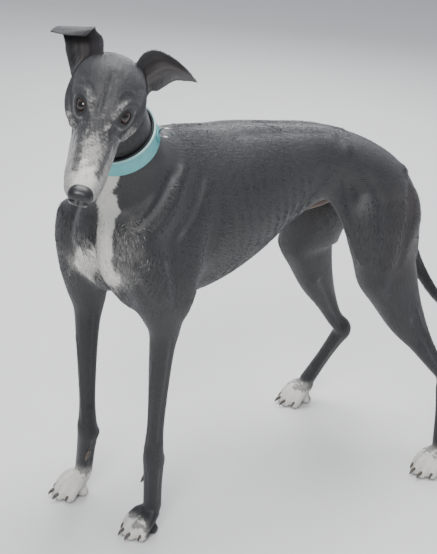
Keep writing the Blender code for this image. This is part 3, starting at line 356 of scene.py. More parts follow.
# Strokes on the trunk's left side and its mirror image: path, width, depth (a ridge if negative)
BODY_STROKES = (
    (((-0.180, -0.050, 0.655), (-0.222, -0.078, 0.600), (-0.272, -0.085, 0.545)), 0.010, -0.0050),
    (((-0.205, -0.050, 0.645), (-0.250, -0.078, 0.600), (-0.292, -0.075, 0.560)), 0.008, 0.0042),
    (((-0.150, -0.060, 0.640), (-0.180, -0.090, 0.590), (-0.225, -0.100, 0.540)), 0.009, 0.0040),
    (((-0.140, -0.085, 0.610), (-0.142, -0.105, 0.560),
      (-0.150, -0.105, 0.500), (-0.172, -0.105, 0.440)),
     0.010, 0.0032),
    (((-0.235, -0.110, 0.530), (-0.226, -0.120, 0.480), (-0.222, -0.120, 0.430)), 0.008, 0.0022),
    (((-0.290, -0.090, 0.520), (-0.275, -0.100, 0.475), (-0.245, -0.110, 0.430)), 0.007, 0.0015),
    (((-0.330, 0.000, 0.590), (-0.330, 0.000, 0.530), (-0.300, 0.000, 0.460), (-0.250, 0.000, 0.410)),
     0.008, 0.0026),
    (((-0.300, -0.040, 0.640), (-0.290, -0.075, 0.600), (-0.262, -0.085, 0.630)), 0.008, 0.0018),
    (((0.020, -0.090, 0.480), (0.050, -0.090, 0.535), (0.085, -0.080, 0.590), (0.100, -0.070, 0.630)),
     0.010, 0.0022),
    (((-0.060, -0.100, 0.420), (0.000, -0.090, 0.452), (0.050, -0.080, 0.490), (0.095, -0.060, 0.525)),
     0.008, 0.0016),
    (((-0.080, -0.045, 0.690), (0.000, -0.045, 0.690), (0.080, -0.040, 0.680), (0.150, -0.040, 0.670)),
     0.011, 0.0018),
    (((-0.180, 0.000, 0.710), (-0.050, 0.000, 0.700), (0.080, 0.000, 0.690), (0.200, 0.000, 0.660)),
     0.006, -0.0014),
    (((0.160, -0.068, 0.645),), 0.014, -0.0045),
    (((0.175, -0.090, 0.620), (0.215, -0.110, 0.560), (0.225, -0.120, 0.490), (0.222, -0.125, 0.430)),
     0.011, 0.0030),
    (((0.300, -0.060, 0.580), (0.285, -0.100, 0.520), (0.270, -0.120, 0.470), (0.262, -0.120, 0.420)),
     0.009, 0.0030),
    (((0.150, -0.070, 0.600), (0.160, -0.085, 0.540), (0.178, -0.100, 0.480)), 0.008, 0.0022),
    (((0.296, -0.053, 0.588),), 0.014, -0.0045),
)
RIB_COUNT = 9
RIB_FIRST = -0.118
RIB_STEP = 0.0215
RIB_WIDTH = 0.0065
RIB_DEPTH = 0.0006
STROKE_REACH = 2.6
SOLE_HEIGHT = 0.0002  # the soles lie flat just above the floor
STROKE_TAPER = 2.5
RIB_PATH = ((0.0, -0.080, 0.640), (0.006, -0.100, 0.600), (0.020, -0.100, 0.545), (0.034, -0.095, 0.490))
# Strokes on a leg: each spot is bone, place along it, outward, ahead
FORELEG_STROKES = (
    (((1, 0.06, 0.03, -0.004), (1, 0.30, 0.03, -0.002), (1, 0.60, 0.03, 0.0), (1, 0.88, 0.03, 0.0)),
     0.0055, 0.0020),
    (((1, 0.06, -0.03, -0.006), (1, 0.40, -0.03, -0.004), (1, 0.80, -0.03, -0.002)), 0.0055, 0.0018),
    (((1, 0.25, 0.006, 0.03), (1, 0.50, -0.004, 0.03),
      (1, 0.75, -0.010, 0.03), (1, 0.93, -0.014, 0.02)),
     0.0028, -0.0012),
    (((1, 0.94, 0.0, 0.03),), 0.012, -0.0018),
    (((2, 0.02, 0.0, -0.03),), 0.010, -0.0034),
    (((2, 0.10, 0.03, -0.006), (2, 0.50, 0.03, -0.006), (2, 0.90, 0.03, -0.006)), 0.004, 0.0014),
    (((2, 0.10, -0.03, -0.006), (2, 0.50, -0.03, -0.006), (2, 0.90, -0.03, -0.006)), 0.004, 0.0014),
    (((2, 0.20, 0.005, 0.03), (2, 0.90, 0.005, 0.03)), 0.003, 0.0007),
)
HINDLEG_STROKES = (
    (((1, 0.28, 0.05, -0.022), (1, 0.50, 0.04, -0.018),
      (1, 0.75, 0.04, -0.012), (1, 0.95, 0.03, -0.008)),
     0.0070, 0.0050),
    (((1, 0.30, -0.05, -0.022), (1, 0.50, -0.04, -0.018),
      (1, 0.75, -0.04, -0.012), (1, 0.95, -0.03, -0.008)),
     0.0070, 0.0045),
    (((1, 0.05, 0.05, 0.010), (1, 0.30, 0.05, 0.008), (1, 0.60, 0.04, 0.006)), 0.0060, 0.0018),
    (((1, 0.20, 0.06, -0.050), (1, 0.45, 0.05, -0.020), (1, 0.70, 0.04, 0.004)), 0.0030, -0.0012),
    (((2, 0.00, 0.03, 0.0),), 0.009, -0.0026),
    (((2, 0.08, 0.03, -0.003), (2, 0.50, 0.03, -0.002), (2, 0.90, 0.03, -0.002)), 0.004, 0.0015),
    (((2, 0.08, -0.03, -0.003), (2, 0.50, -0.03, -0.002), (2, 0.90, -0.03, -0.002)), 0.004, 0.0015),
    (((0, 0.97, 0.06, 0.024),), 0.014, -0.0026),
)
# Strokes on the face: side, behind the nose tip, towards the crown
LIP_LINE = ((0.0, 0.004, -0.030), (0.012, 0.006, -0.0265), (0.024, 0.030, -0.0265), (0.028, 0.060, -0.0290),
            (0.030, 0.085, -0.0300), (0.031, 0.100, -0.0270))
FACE_STROKES = (
    (LIP_LINE, 0.0016, 0.0024),
    (((0.0, -0.002, -0.012), (0.0, 0.002, -0.028)), 0.0014, 0.0014),
    (((0.013, 0.024, 0.012), (0.015, 0.055, 0.017), (0.017, 0.085, 0.025), (0.016, 0.105, 0.034)),
     0.0035, 0.0009),
    (((0.026, 0.106, 0.020), (0.036, 0.113, 0.014), (0.047, 0.128, 0.015)), 0.0028, 0.0012),
    (((0.028, 0.096, 0.012), (0.040, 0.106, 0.004), (0.050, 0.125, 0.004)), 0.0035, 0.0009),
    (((0.022, 0.112, 0.030), (0.018, 0.102, 0.028)), 0.0024, 0.0012),
    (((0.016, 0.120, 0.044), (0.027, 0.137, 0.052), (0.040, 0.148, 0.046)), 0.0040, -0.0013),
    (((0.016, 0.130, 0.054), (0.028, 0.146, 0.060), (0.042, 0.158, 0.052)), 0.0030, 0.0008),
    (((0.010, 0.112, 0.046), (0.009, 0.125, 0.054), (0.010, 0.140, 0.061)), 0.0026, 0.0008),
    (((0.0, 0.108, 0.042), (0.0, 0.140, 0.060), (0.0, 0.180, 0.072)), 0.0060, 0.0016),
    (((0.050, 0.135, 0.002), (0.054, 0.160, -0.008), (0.056, 0.185, -0.010)), 0.0060, 0.0014),
    (((0.040, 0.128, -0.022), (0.046, 0.150, -0.034), (0.042, 0.180, -0.050)), 0.0050, 0.0010),
    (((0.034, 0.155, 0.060), (0.046, 0.172, 0.050), (0.052, 0.190, 0.034)), 0.0060, 0.0012),
    (((0.018, 0.020, -0.020), (0.020, 0.060, -0.022)), 0.0040, -0.0006),
)

# Markings: colours, with painted shade on the legs and painted sheen on the back, and the places of the
# patches in the pose frame
SLATE = (0.0235, 0.0230, 0.0245)
# Painted shade: the legs and the low body are made darker towards the floor
PAINTED_LEG_SHADE = (0.0070, 0.0072, 0.0085)
# Painted sheen: the top of the back is made paler grey
PAINTED_BACK_SHEEN = (0.034, 0.034, 0.036)
RUST = (0.070, 0.045, 0.030)
BELLY_SKIN = (0.14, 0.080, 0.062)
LID_SKIN = (0.008, 0.008, 0.009)
EAR_PINK = (0.011, 0.0065, 0.0065)
WHITE_HAIR = (0.66, 0.64, 0.60)
# Patches of the coat: path, reach, fade, raggedness, the rag's seed, strength
RUST_PATCH = (((0.300, -0.110, 0.520), (0.310, -0.120, 0.440)), 0.02, 0.08, 0.01, 3, 0.15)
BARE_BELLY = (((0.100, 0.000, 0.520), (0.200, 0.000, 0.530)), 0.035, 0.030, 0.004, 7, 1.0)
SHEATH_TIP = (((0.096, -0.010, 0.528),), 0.010, 0.012, 0.002, 8, 0.8)
BRISKET = (((-0.120, -0.020, 0.400), (-0.020, -0.030, 0.425)), 0.012, 0.035, 0.006, 9, 0.35)
THROAT_LINE = ((-0.316, -0.060, 0.655), (-0.305, -0.044, 0.620), (-0.308, -0.049, 0.579),
               (-0.317, -0.061, 0.535), (-0.314, -0.051, 0.502))
CHEST_LINE = ((-0.303, -0.062, 0.485), (-0.310, -0.030, 0.490), (-0.308, 0.006, 0.480),
              (-0.300, 0.022, 0.458))
THROAT_STRIPE = (THROAT_LINE, 0.0165, 0.005, 0.0030, 11, 1.0)
CHEST_WHITE = (CHEST_LINE, 0.018, 0.014, 0.004, 12, 1.0)
CHEST_GREY = (CHEST_LINE, 0.020, 0.036, 0.006, 13, 0.35)
SHOULDER_POINT = (((-0.300, -0.090, 0.560), (-0.300, -0.090, 0.500)), 0.012, 0.045, 0.008, 14, 0.22)
CHIN_SHADOW_SPOT = (0, 0.004, -0.024)  # the dark lip skin and painted shadow under the nose, in head coordinates
CHIN_SHADOW_SHAPE = (0.010, 0.007, 0.002, 24)
LIP_SHAPE = (0.0010, 0.0018)
LEG_SHADE_HEIGHTS = (0.46, 0.30)  # heights between which painted shade darkens the legs
BACK_SHEEN_HEIGHTS = (0.60, 0.70)
LEG_SHADE_SHARE = 0.75
BACK_SHEEN_SHARE = 0.6
FOOT_REACH = 0.09
WHITE_FEET = {  # where the white begins ahead of the paw's middle, and its top
    "foreleg_left": (0.020, 0.034),
    "foreleg_right": (-0.060, 0.052),
    "hindleg_left": (-0.060, 0.044),
    "hindleg_right": (-0.010, 0.040),
}
# Grey patches of the face: path, reach, fade, strength
FACE_PATCHES = (
    (((0.018, 0.118, 0.046), (0.026, 0.134, 0.051)), 0.003, 0.013, 0.24),
    (((0.036, 0.100, 0.000), (0.046, 0.125, 0.000)), 0.005, 0.015, 0.30),
    (((0.030, 0.060, -0.012), (0.034, 0.095, -0.012)), 0.008, 0.016, 0.62),
    (((0.0, 0.110, 0.044), (0.0, 0.165, 0.066)), 0.003, 0.018, 0.06),
    (((0.014, 0.036, 0.010), (0.018, 0.060, 0.014), (0.021, 0.100, 0.022)), 0.002, 0.009, -0.62),
)
RIPPLE_WAVES = 7
HEAD_REACH = 0.26
EAR_BASE_ROWS = 3
EAR_RIM = 2.0  # grid steps over which the hollow of the ear begins
MUZZLE_WHITE = 0.066
MUZZLE_GREY = 0.120
MUZZLE_FADES = (0.040, 0.055)
MUZZLE_FROST, MUZZLE_SIDE_LOSS, CHEEK_FROST, JAW_FROST = 0.86, 0.30, 0.46, 0.70
FACE_RAG, FACE_RAG_SEED = 0.0015, 23
EAR_NEAR = 0.008  # how close to an ear's sheet its inside is
TRUNK_LIE = (1.0, 0.0, -0.30)
LEG_LIE = (0.12, 0.0, -1.0)

# The coat: tufts for each square metre, their length, width, and how far the tips stand out
FACE_TUFT = (650000, 0.0032, 0.00042, 0.03)
CROWN_TUFT = (420000, 0.0045, 0.00050, 0.025)
EAR_TUFT = (420000, 0.0030, 0.00042, 0.02)
NECK_TUFT = (230000, 0.0080, 0.00070, 0.02)
TRUNK_TUFT = (110000, 0.0100, 0.00080, 0.015)
TAIL_TUFT = (260000, 0.0090, 0.00070, 0.03)
LEG_TUFT = (260000, 0.0052, 0.00060, 0.02)
TUFT_SPRAY = 0.16
TUFT_SINK = 0.00035
TUFT_ON_MAP = 0.003
MAP_EDGE = 0.02
NECK_REACH = 0.16
NECK_LOW = -0.075
TAIL_REACH = 0.035
TAIL_START = 0.335
LEG_TOP = 0.43
PAD_TOP = 0.0025
FACE_LENGTH = 0.135
EAR_COAT_REACH = 0.0045
SPINE_LINE = ((-0.34, 0.56), (-0.20, 0.56), (-0.05, 0.56), (0.10, 0.58), (0.25, 0.57), (0.36, 0.53))
# Longer hair: piece, seed, paths, reach, then its tuft
LOCKS = (
    ("locks_chest", 200, (((-0.325, -0.035, 0.600), (-0.325, -0.035, 0.545), (-0.300, -0.010, 0.460)),),
     0.030, (140000, 0.012, 0.0008, 0.08)),
    ("locks_brisket", 201, (((-0.240, -0.015, 0.405), (-0.100, -0.020, 0.400), (0.000, -0.025, 0.440)),),
     0.030, (110000, 0.011, 0.0008, 0.07)),
    ("locks_thighs", 203, (((0.320, -0.060, 0.540), (0.300, -0.090, 0.470), (0.275, -0.110, 0.410)),
                           ((0.310, 0.030, 0.540), (0.285, 0.060, 0.470), (0.250, 0.075, 0.410))),
     0.026, (120000, 0.010, 0.0008, 0.06)),
)
COAT_SEED = 100
CORNER_DRAWS = 1 << 20
NEARLY = 0.999
# Ranges of a tuft's length, width, lift and shade, and how far along it is widest
TUFT_LENGTHS, TUFT_WIDTHS, TUFT_LIFTS, TUFT_SHADES = (0.65, 1.25), (0.7, 1.2), (0.3, 1.5), (0.72, 1.25)
TUFT_WIDEST = 0.4
# A spindle's faces, from its root, two sides, ridge and tip, and those points on its map
SPINDLE_FACES = ((0, 1, 3), (1, 4, 3), (4, 2, 3), (2, 0, 3), (0, 2, 4), (0, 4, 1))
SPINDLE_MAP = ((0, -0.5), (-0.35, 0), (0.35, 0), (0, 0.1), (0, 0.5))

# Finishes
HAIR_FINE, HAIR_LONG = 1000.0, 90.0
CLUMP_FINE, CLUMP_LONG = 240.0, 30.0
HAIR_BUMP = 0.0007
COAT_ROUGHNESS = 0.36
COAT_SHEEN = 0.16
SHEEN_ROUGHNESS = 0.45
SHEEN_TINT = (0.90, 0.94, 1.0, 1)
GAZE = (0.60, 0.06, 0.30, 0.40)  # outward, right, muzzle and crown
EYE_CIRCLES = 60
EYE_SPOKES = 72
CORNEA_RISE = 0.0007
CORNEA_ANGLE = 0.70
PUPIL_ANGLE = 0.34
IRIS_ANGLE = 0.74
PUPIL = (0.002, 0.002, 0.003)
IRIS_INNER = (0.042, 0.023, 0.011)
IRIS_OUTER = (0.016, 0.008, 0.004)
IRIS_RIM = (0.004, 0.003, 0.003)
EYE_WHITE = (0.09, 0.065, 0.055)
EYE_SEED = 7
NOSE_VOXEL = 0.0005
NOSE_SOFT = 0.012
NOSE_STROKES = (
    (((0.0055, -0.008, 0.0045), (0.0085, -0.007, 0.0015),
      (0.0125, -0.002, -0.0030), (0.0165, 0.004, -0.0050)),
     0.0021, 0.0042),
    (((0.0070, -0.008, 0.0030), (0.0080, -0.007, 0.0010)), 0.0026, 0.0040),
    (((0.0, -0.009, 0.0070), (0.0, -0.009, -0.0030), (0.0, -0.004, -0.0130)), 0.0009, 0.0012),
)
HEAD_SIDES = 32
BAND_STEPS, TAB_STEPS = 144, 16
RING_STEPS, WIRE_STEPS = 48, 14
RING_OVERLAP = 0.95
# Colours of the collar, light and dark
TEAL = (0.19, 0.56, 0.57), (0.075, 0.30, 0.33)
TAB_TEAL = (0.16, 0.48, 0.50), (0.06, 0.25, 0.28)
PALE_TOP_EDGE = (0.55, 0.78, 0.76), (0.36, 0.62, 0.62)
PADDING = (0.040, 0.044, 0.050), (0.012, 0.013, 0.016)
THREAD = (0.62, 0.74, 0.72), (0.45, 0.60, 0.60)
STITCH_STEP = 0.0045
STITCH_EDGE = 0.0032
STITCH_WIDTH = 0.0008
FLOOR_HALF = 12
WORLD_LIGHT = 0.50
# Lamps: name, place, target, size, power
LAMPS = (
    ("key", (-2.2, -2.0, 2.6), (0.0, 0.0, 0.5), 1.6, 95),
    ("top", (0.3, 0.4, 3.2), (0.0, 0.0, 0.5), 2.4, 120),
    ("rim", (1.8, 2.2, 1.9), (0.0, 0.0, 0.5), 1.4, 40),
)


def smooth_rows(rows, between):
    """Rows of numbers with more rows put between them, on a Catmull-Rom curve."""
    rows = np.asarray(rows, float)
    ends = np.vstack([2 * rows[0] - rows[1], rows, 2 * rows[-1] - rows[-2]])
    out = []
    for i in range(1, len(ends) - 2):
        a, b, c, d = ends[i - 1 : i + 3]
        for k in range(between):
            t = k / between
            out.append(
                b + 0.5 * t * (c - a + t * (2 * a - 5 * b + 4 * c - d + t * (3 * (b - c) + d - a)))
            )
    return np.array(out + [rows[-1]]).tolist()


def ring_outline(up, down, half, widest, above, below, sides):
    """Points (sideways, height) round one ring, a superellipse above and below its widest place."""
    points = []
    for k in range(sides):
        turn = 2 * math.pi * k / sides
        c, s = math.cos(turn), math.sin(turn)
        power = above if s > 0 else below
        side = math.copysign(abs(c) ** (2 / power), c) * half
        reach = (up - widest) if s > 0 else (widest - down)
        points.append((side, widest + math.copysign(abs(s) ** (2 / power), s) * reach))
    return points


def loft(rings, closed=False):
    """One body through rings of points that run the same way round, with capped or joined ends."""
    body = bmesh.new()
    loops = [[body.verts.new(p) for p in ring] for ring in rings]
    for low, high in zip(loops, loops[1:] + loops[:closed]):
        for k in range(len(low)):
            n = (k + 1) % len(low)
            body.faces.new((low[k], low[n], high[n], high[k]))
    if not closed:
        body.faces.new(loops[0][::-1])
        body.faces.new(loops[-1])
    bmesh.ops.recalc_face_normals(body, faces=body.faces)
    bmesh.ops.triangulate(body, faces=body.faces)
    return body


def bend(point):
    """A point of the straight body, moved to the gently bent one."""
    x, y, z = point
    ahead = x - SPINE_PIVOT
    reach = math.hypot(ahead, SPINE_SOFTNESS)
    slope = math.tan(SPINE_BEND)
    middle = -SPINE_OFFSET - slope * (reach - 0.3 * SPINE_SOFTNESS)
    lean = math.atan(-slope * ahead / reach)
    return Vector((x - math.sin(lean) * y, middle + math.cos(lean) * y, z))


def trunk():
    rings = []
    for x, top, bottom, half, widest, above, below in smooth_rows(TRUNK_RINGS, 3):
        outline = ring_outline(top, bottom, half, widest, above, below, 40)
        rings.append([bend((x, side, height)) for side, height in outline])
    return loft(rings)


def tube(rows, hints=None, sides=20):
    """A limb: rows of centre, half width, reach to the front and to the back, square to its path."""
    rings = []
    for i, (x, y, z, half, front, back) in enumerate(rows):
        ahead = Vector(rows[min(i + 1, len(rows) - 1)][:3])
        behind = Vector(rows[max(i - 1, 0)][:3])
        along = (ahead - behind).normalized()
        side = Vector(hints[i] if hints else (0, 1, 0))
        side = (side - side.dot(along) * along).normalized()
        forward = side.cross(along)
        outline = ring_outline(front, -back, half, 0.0, 2.0, 2.0, sides)
        ring = [Vector((x, y, z)) + s * side + f * forward for s, f in outline]
        end = {0: -1, len(rows) - 1: 1}.get(i)
        caps = cap_rings(ring, along * end, min(half, front + back)) if end else []
        rings += caps[::-1] + [ring] if end == -1 else [ring] + caps
    return loft(rings)


def cap_rings(ring, outward, reach):
    """Smaller rings past the end of a limb, which round it off."""
    middle = sum(ring, Vector()) / len(ring)
    caps = []
    for turn in CAP_TURNS:
        shift = outward * reach * math.sin(turn)
        caps.append([middle + (p - middle) * math.cos(turn) + shift for p in ring])
    return caps


def neck():
    rows = [(*centre, half, throat, crest) for centre, half, throat, crest in NECK_RINGS]
    rows = smooth_rows(rows, 4)
    last = len(rows) - 1
    hints = [Vector((0, 1, 0)).lerp(HEAD_RIGHT, i / last) for i in range(last + 1)]
    return tube(rows, hints, 32)


def head_point(side, behind, height):
    """A place on the head: to the animal's right, behind the nose tip, towards the crown."""
    return NOSE_TIP + side * HEAD_RIGHT - behind * HEAD_MUZZLE + height * HEAD_CROWN


def head_path(path, side):
    """A path given in head coordinates, on one side of the head."""
    return [head_point(side * s, behind, height) for s, behind, height in path]


def head_rings(rings, between):
    """Rings of the head or the nose, with more put between them."""
    for behind, top, bottom, half, widest, above, below in smooth_rows(rings, between):
        outline = ring_outline(top, bottom, half, widest, above, below, HEAD_SIDES)
        yield [head_point(side, behind, height) for side, height in outline]


def head_strand(strand, side):
    """A muscle or bony ridge of the head, on one side of it."""
    rows = smooth_rows(strand, 3)
    rows = [(*head_point(side * s, behind, height), r, r, r) for s, behind, height, r in rows]
    return tube(rows, [HEAD_CROWN] * len(rows), 14)


def leg_joints(leg):
    """The joints of a leg down to its fetlock, which stands over the back of the paw."""
    x, y = leg["paw"]
    back = -FETLOCK_BACK
    fetlock = (x + back * math.cos(leg["heading"]), y + back * math.sin(leg["heading"]), FETLOCK_HEIGHT)
    return [Vector(j) for j in leg["joints"]] + [Vector(fetlock)]


def leg(name):
    joints = leg_joints(LEGS[name])
    rings = FORELEG_RINGS if name.startswith("fore") else HINDLEG_RINGS
    rows = []
    for bone, place, half, front, back in rings:
        centre = joints[bone].lerp(joints[bone + 1], place)
        rows.append((*centre, half, front, back))
    return tube(smooth_rows(rows, 4), sides=24)


def muscle(rings, side):
    """A muscle given for the left side, or mirrored for the right one (side 1)."""
    rows = smooth_rows([(*c, half, front, back) for c, half, front, back in rings], 4)
    return tube([(*bend((x, -side * y, z)), *sizes) for x, y, z, *sizes in rows])


def tail():
    return tube(smooth_rows([(*centre, r, r, r) for centre, r in TAIL_RINGS], 4), sides=16)


def sheath():
    rows = [(*centre, half, deep, deep) for centre, half, deep in SHEATH_RINGS]
    return tube(smooth_rows(rows, 4), sides=16)


def placed(name, data):
    """A new object in the scene."""
    made = bpy.data.objects.new(name, data)
    bpy.context.scene.collection.objects.link(made)
    return made


def mesh_object(name, body):
    mesh = bpy.data.meshes.new(name)
    body.to_mesh(mesh)
    body.free()
    return placed(name, mesh)


def add_body(whole, body):
    """Adds one body of faces to another."""
    part = bpy.data.meshes.new("part")
    body.to_mesh(part)
    body.free()
    whole.from_mesh(part)
    bpy.data.meshes.remove(part)


def joined(name, bodies):
    """Several closed bodies in one object."""
    whole = bmesh.new()
    for body in bodies:
        add_body(whole, body)
    return mesh_object(name, whole)


def paw_point(name, side, ahead, height):
    """A place on a paw: to its own right, ahead of its middle, over the floor."""
    leg_data = LEGS[name]
    x, y = leg_data["paw"]
    c, s = math.cos(leg_data["heading"]), math.sin(leg_data["heading"])
    return Vector((x + ahead * c + side * s, y + ahead * s - side * c, height))


def toe_rows(name, toe, path, between=3):
    lateral, reach = toe
    if name.startswith("hind"):
        reach *= HIND_TOE_STRETCH
    rows = [(*paw_point(name, lateral * a, reach * b, z), r, r, r) for a, b, z, r in path]
    return smooth_rows(rows, between)


def heading_side(name):
    return paw_point(name, 1, 0, 0) - paw_point(name, 0, 0, 0)


def heading_ahead(name):
    return paw_point(name, 0, 1, 0) - paw_point(name, 0, 0, 0)


def paw_bodies(name):
    side = heading_side(name)
    for toe in TOES:
        rows = toe_rows(name, toe, TOE_PATH)
        yield tube(rows, [side] * len(rows), 14)
    rows = [(*paw_point(name, *place), PAD_RADIUS, PAD_RADIUS, PAD_RADIUS) for place in PAD_PATH]
    yield tube(smooth_rows(rows, 3), [(0, 0, 1)] * 7, 14)
    fetlock = leg_joints(LEGS[name])[-1]
    rows = [(*fetlock, *HEEL_TOP), (*paw_point(name, *HEEL_FOOT[:3]), *HEEL_FOOT[3:])]
    yield tube(smooth_rows(rows, 3), [side] * 4, 14)


def dewclaw_places(name):
    """The root and the tip of the dewclaw, on the inner side of the pastern."""
    joints = leg_joints(LEGS[name])
    inward = heading_side(name) * (1 if name.endswith("left") else -1)
    ahead = heading_ahead(name)
    middle = joints[2].lerp(joints[3], DEWCLAW_PLACE)
    root = middle + inward * DEWCLAW_ROOT[0] + ahead * DEWCLAW_ROOT[1]
    return root, root + ahead * DEWCLAW_TIP.x + inward * DEWCLAW_TIP.y + Vector((0, 0, DEWCLAW_TIP.z))


def ball(centre, radius, segments=12):
    body = bmesh.new()
    bmesh.ops.create_uvsphere(body, u_segments=segments, v_segments=segments // 2, radius=radius)
    bmesh.ops.translate(body, verts=body.verts, vec=centre)
    return body


def eye_centre(side):
    return head_point(side * EYE_CENTRE[0], EYE_CENTRE[1], EYE_CENTRE[2])


def collar_axes():
    """Axes round the collar: its right, its front and the way up the neck."""
    right = (Vector((0, 1, 0)) - COLLAR_AXIS.y * COLLAR_AXIS).normalized()
    return right, right.cross(COLLAR_AXIS), COLLAR_AXIS


def collar_point(turn, radius, height):
    right, front, axis = collar_axes()
    reach = radius + COLLAR_TAPER * height
    return COLLAR_LOW + (right * math.cos(turn) + front * math.sin(turn)) * reach + axis * height


def settle(made):
    """Applies an object's modifiers."""
    bpy.context.view_layer.update()
    graph = bpy.context.evaluated_depsgraph_get()
    mesh = bpy.data.meshes.new_from_object(made.evaluated_get(graph))
    made.modifiers.clear()
    made.data = mesh
    return made


def remeshed(name, bodies, voxel):
    """One outer skin round bodies that overlap."""
    made = joined(name, bodies)
    remesh = made.modifiers.new("Remesh", "REMESH")
    remesh.mode = "VOXEL"
    remesh.voxel_size = voxel
    return settle(made)


def read(items, name, width=3, kind=float):
    """One property of all of a mesh's vertices, edges, faces or corners, as an array."""
    values = np.empty(len(items) * width, kind)
    items.foreach_get(name, values)
    return values.reshape(-1, width) if width > 1 else values


def points_of(mesh):
    return read(mesh.vertices, "co")


def normals_of(mesh):
    return read(mesh.vertices, "normal")


def move_points(mesh, points):
    mesh.vertices.foreach_set("co", points.ravel())
    mesh.update()


def softness(points):
    """How far each point of the skin is smoothed: much on the trunk, little on face and paws."""
    ahead = np.array(head_point(0, 0.10, 0))
    from_face = np.linalg.norm(points - ahead, axis=1)
    face = np.clip((from_face - 0.11) / 0.08, 0, 1)
    leg_share = np.clip((points[:, 2] - 0.10) / 0.35, 0, 1)
    return LEAST_SOFT + (1 - LEAST_SOFT) * np.minimum(face, leg_share**1.5)


def smooth_skin(mesh, voxel, soft):
    """Moves each vertex towards the middle of its neighbours, in as many rounds as the spread needs."""
    points = points_of(mesh)
    count = len(points)
    a, b = read(mesh.edges, "vertices", 2, int).T
    degree = np.bincount(np.concatenate([a, b]), minlength=count)[:, None]
    total_share = 2 * SMOOTHING_SPREAD**2 / voxel**2
    rounds = math.ceil(total_share / MOST_SHARE)
    share = soft[:, None] * total_share / rounds
    for _ in range(rounds):
        total = np.empty_like(points)
        for axis in range(3):
            total[:, axis] = np.bincount(a, points[b, axis], count) + np.bincount(b, points[a, axis], count)
        points += share * (total / degree - points)
    move_points(mesh, points)


def ear_sheet(name):
    """The ear's middle surface: a strip between its two edges, which bulges to the back."""
    side = 1 if name.endswith("right") else -1
    rows = smooth_rows([(*inner, *outer, bulge) for inner, outer, bulge in EARS[name]], 3)
    back = EAR_BULGE[1] * -HEAD_MUZZLE + EAR_BULGE[2] * HEAD_CROWN
    grid = []
    for row in rows:
        inner = head_point(side * row[0], row[1], row[2])
        outer = head_point(side * row[3], row[4], row[5])
        shares = [k / EAR_COLUMNS for k in range(EAR_COLUMNS + 1)]
        grid.append([inner.lerp(outer, s) + back * (row[6] * max(math.sin(math.pi * s), 0)) for s in shares])
    return grid


def ear_normals(grid):
    """The way each point of an ear's sheet faces, towards the ear's back."""
    points = np.array([[tuple(p) for p in line] for line in grid])
    along, across = np.gradient(points, axis=0), np.gradient(points, axis=1)
    normals = np.cross(along, across)
    normals /= np.linalg.norm(normals, axis=2, keepdims=True)
    back = np.array(EAR_BULGE[1] * -HEAD_MUZZLE + EAR_BULGE[2] * HEAD_CROWN)
    facing = np.sign((normals * back).sum(axis=2).mean())
    return points, normals * facing


def ear_body(name):
    points, normals = ear_normals(ear_sheet(name))
    back, front = points + normals * EAR_WALL / 2, points - normals * EAR_WALL / 2
    return loft([[Vector(p) for p in (*b, *f[::-1])] for b, f in zip(back, front)])


def trunk_bodies():
    yield trunk()
    yield neck()
    for name in LEGS:
        yield leg(name)
        yield from paw_bodies(name)
    for side in (1, -1):
        for rings in (SHOULDER_BLADE, TRICEPS, PECTORAL, CROUP, HAMSTRING, FLANK_FOLD):
            yield muscle(rings, side)
    yield tail()
    yield sheath()


def head_bodies():
    yield neck()
    yield loft(head_rings(HEAD_RINGS, 3))
    for side in (1, -1):
        for strand in FACE_STRANDS:
            yield head_strand(strand, side)
    for side in (1, -1):
        yield ball(eye_centre(side), LID_RADIUS)
    for name in EARS:
        yield ear_body(name)


def distance_to(points, targets, reach):
    """How far each point is from the nearest target, or the reach where that is further."""
    found = np.full(len(points), reach)
    low, high = targets.min(axis=0) - reach, targets.max(axis=0) + reach
    near = np.flatnonzero(((points > low) & (points < high)).all(axis=1))
    tree = KDTree(len(targets))
    for i, target in enumerate(targets):
        tree.insert(target, i)
    tree.balance()
    for i in near:
        found[i] = min(found[i], tree.find(points[i])[2])
    return found


def dense_sheet(name):
    """Many points on an ear's sheet."""
    points, _ = ear_normals(ear_sheet(name))
    rows = [smooth_rows(line, 4) for line in points]
    columns = [smooth_rows(line, 4) for line in np.array(rows).transpose(1, 0, 2)]
    return np.array(columns).reshape(-1, 3)


def head_softness(points):
    """As on the whole skin, but the ears keep their thin edges."""
    soft = softness(points)
    sheet = np.vstack([dense_sheet(name) for name in EARS])
    away = distance_to(points, sheet, 0.012)
    keep = np.clip((away - 0.0045) / 0.0075, 0, 1)
    return EAR_SOFT + (soft - EAR_SOFT) * keep


def shrink(mesh, depth):
    """Draws the skin in by the coat's depth."""
    move_points(mesh, points_of(mesh) - normals_of(mesh) * depth)


def along_path(points, path):
    """For each point its distance from a path, the place along it that is nearest, and which stretch."""
    best = np.full(len(points), np.inf)
    along, stretch = np.zeros(len(points)), np.zeros(len(points), int)
    path = [np.array(tuple(p), float) for p in path]
    if len(path) == 1:
        return np.linalg.norm(points - path[0], axis=1), along, stretch, 0.0
    done = 0.0
    for k, (a, b) in enumerate(zip(path, path[1:])):
        run = b - a
        length = np.linalg.norm(run)
        share = np.clip((points - a) @ run / max(length**2, 1e-12), 0, 1)
        away = np.linalg.norm(points - a - share[:, None] * run, axis=1)
        near = away < best
        best = np.where(near, away, best)
        along = np.where(near, done + share * length, along)
        stretch = np.where(near, k, stretch)
        done += length
    return best, along, stretch, done


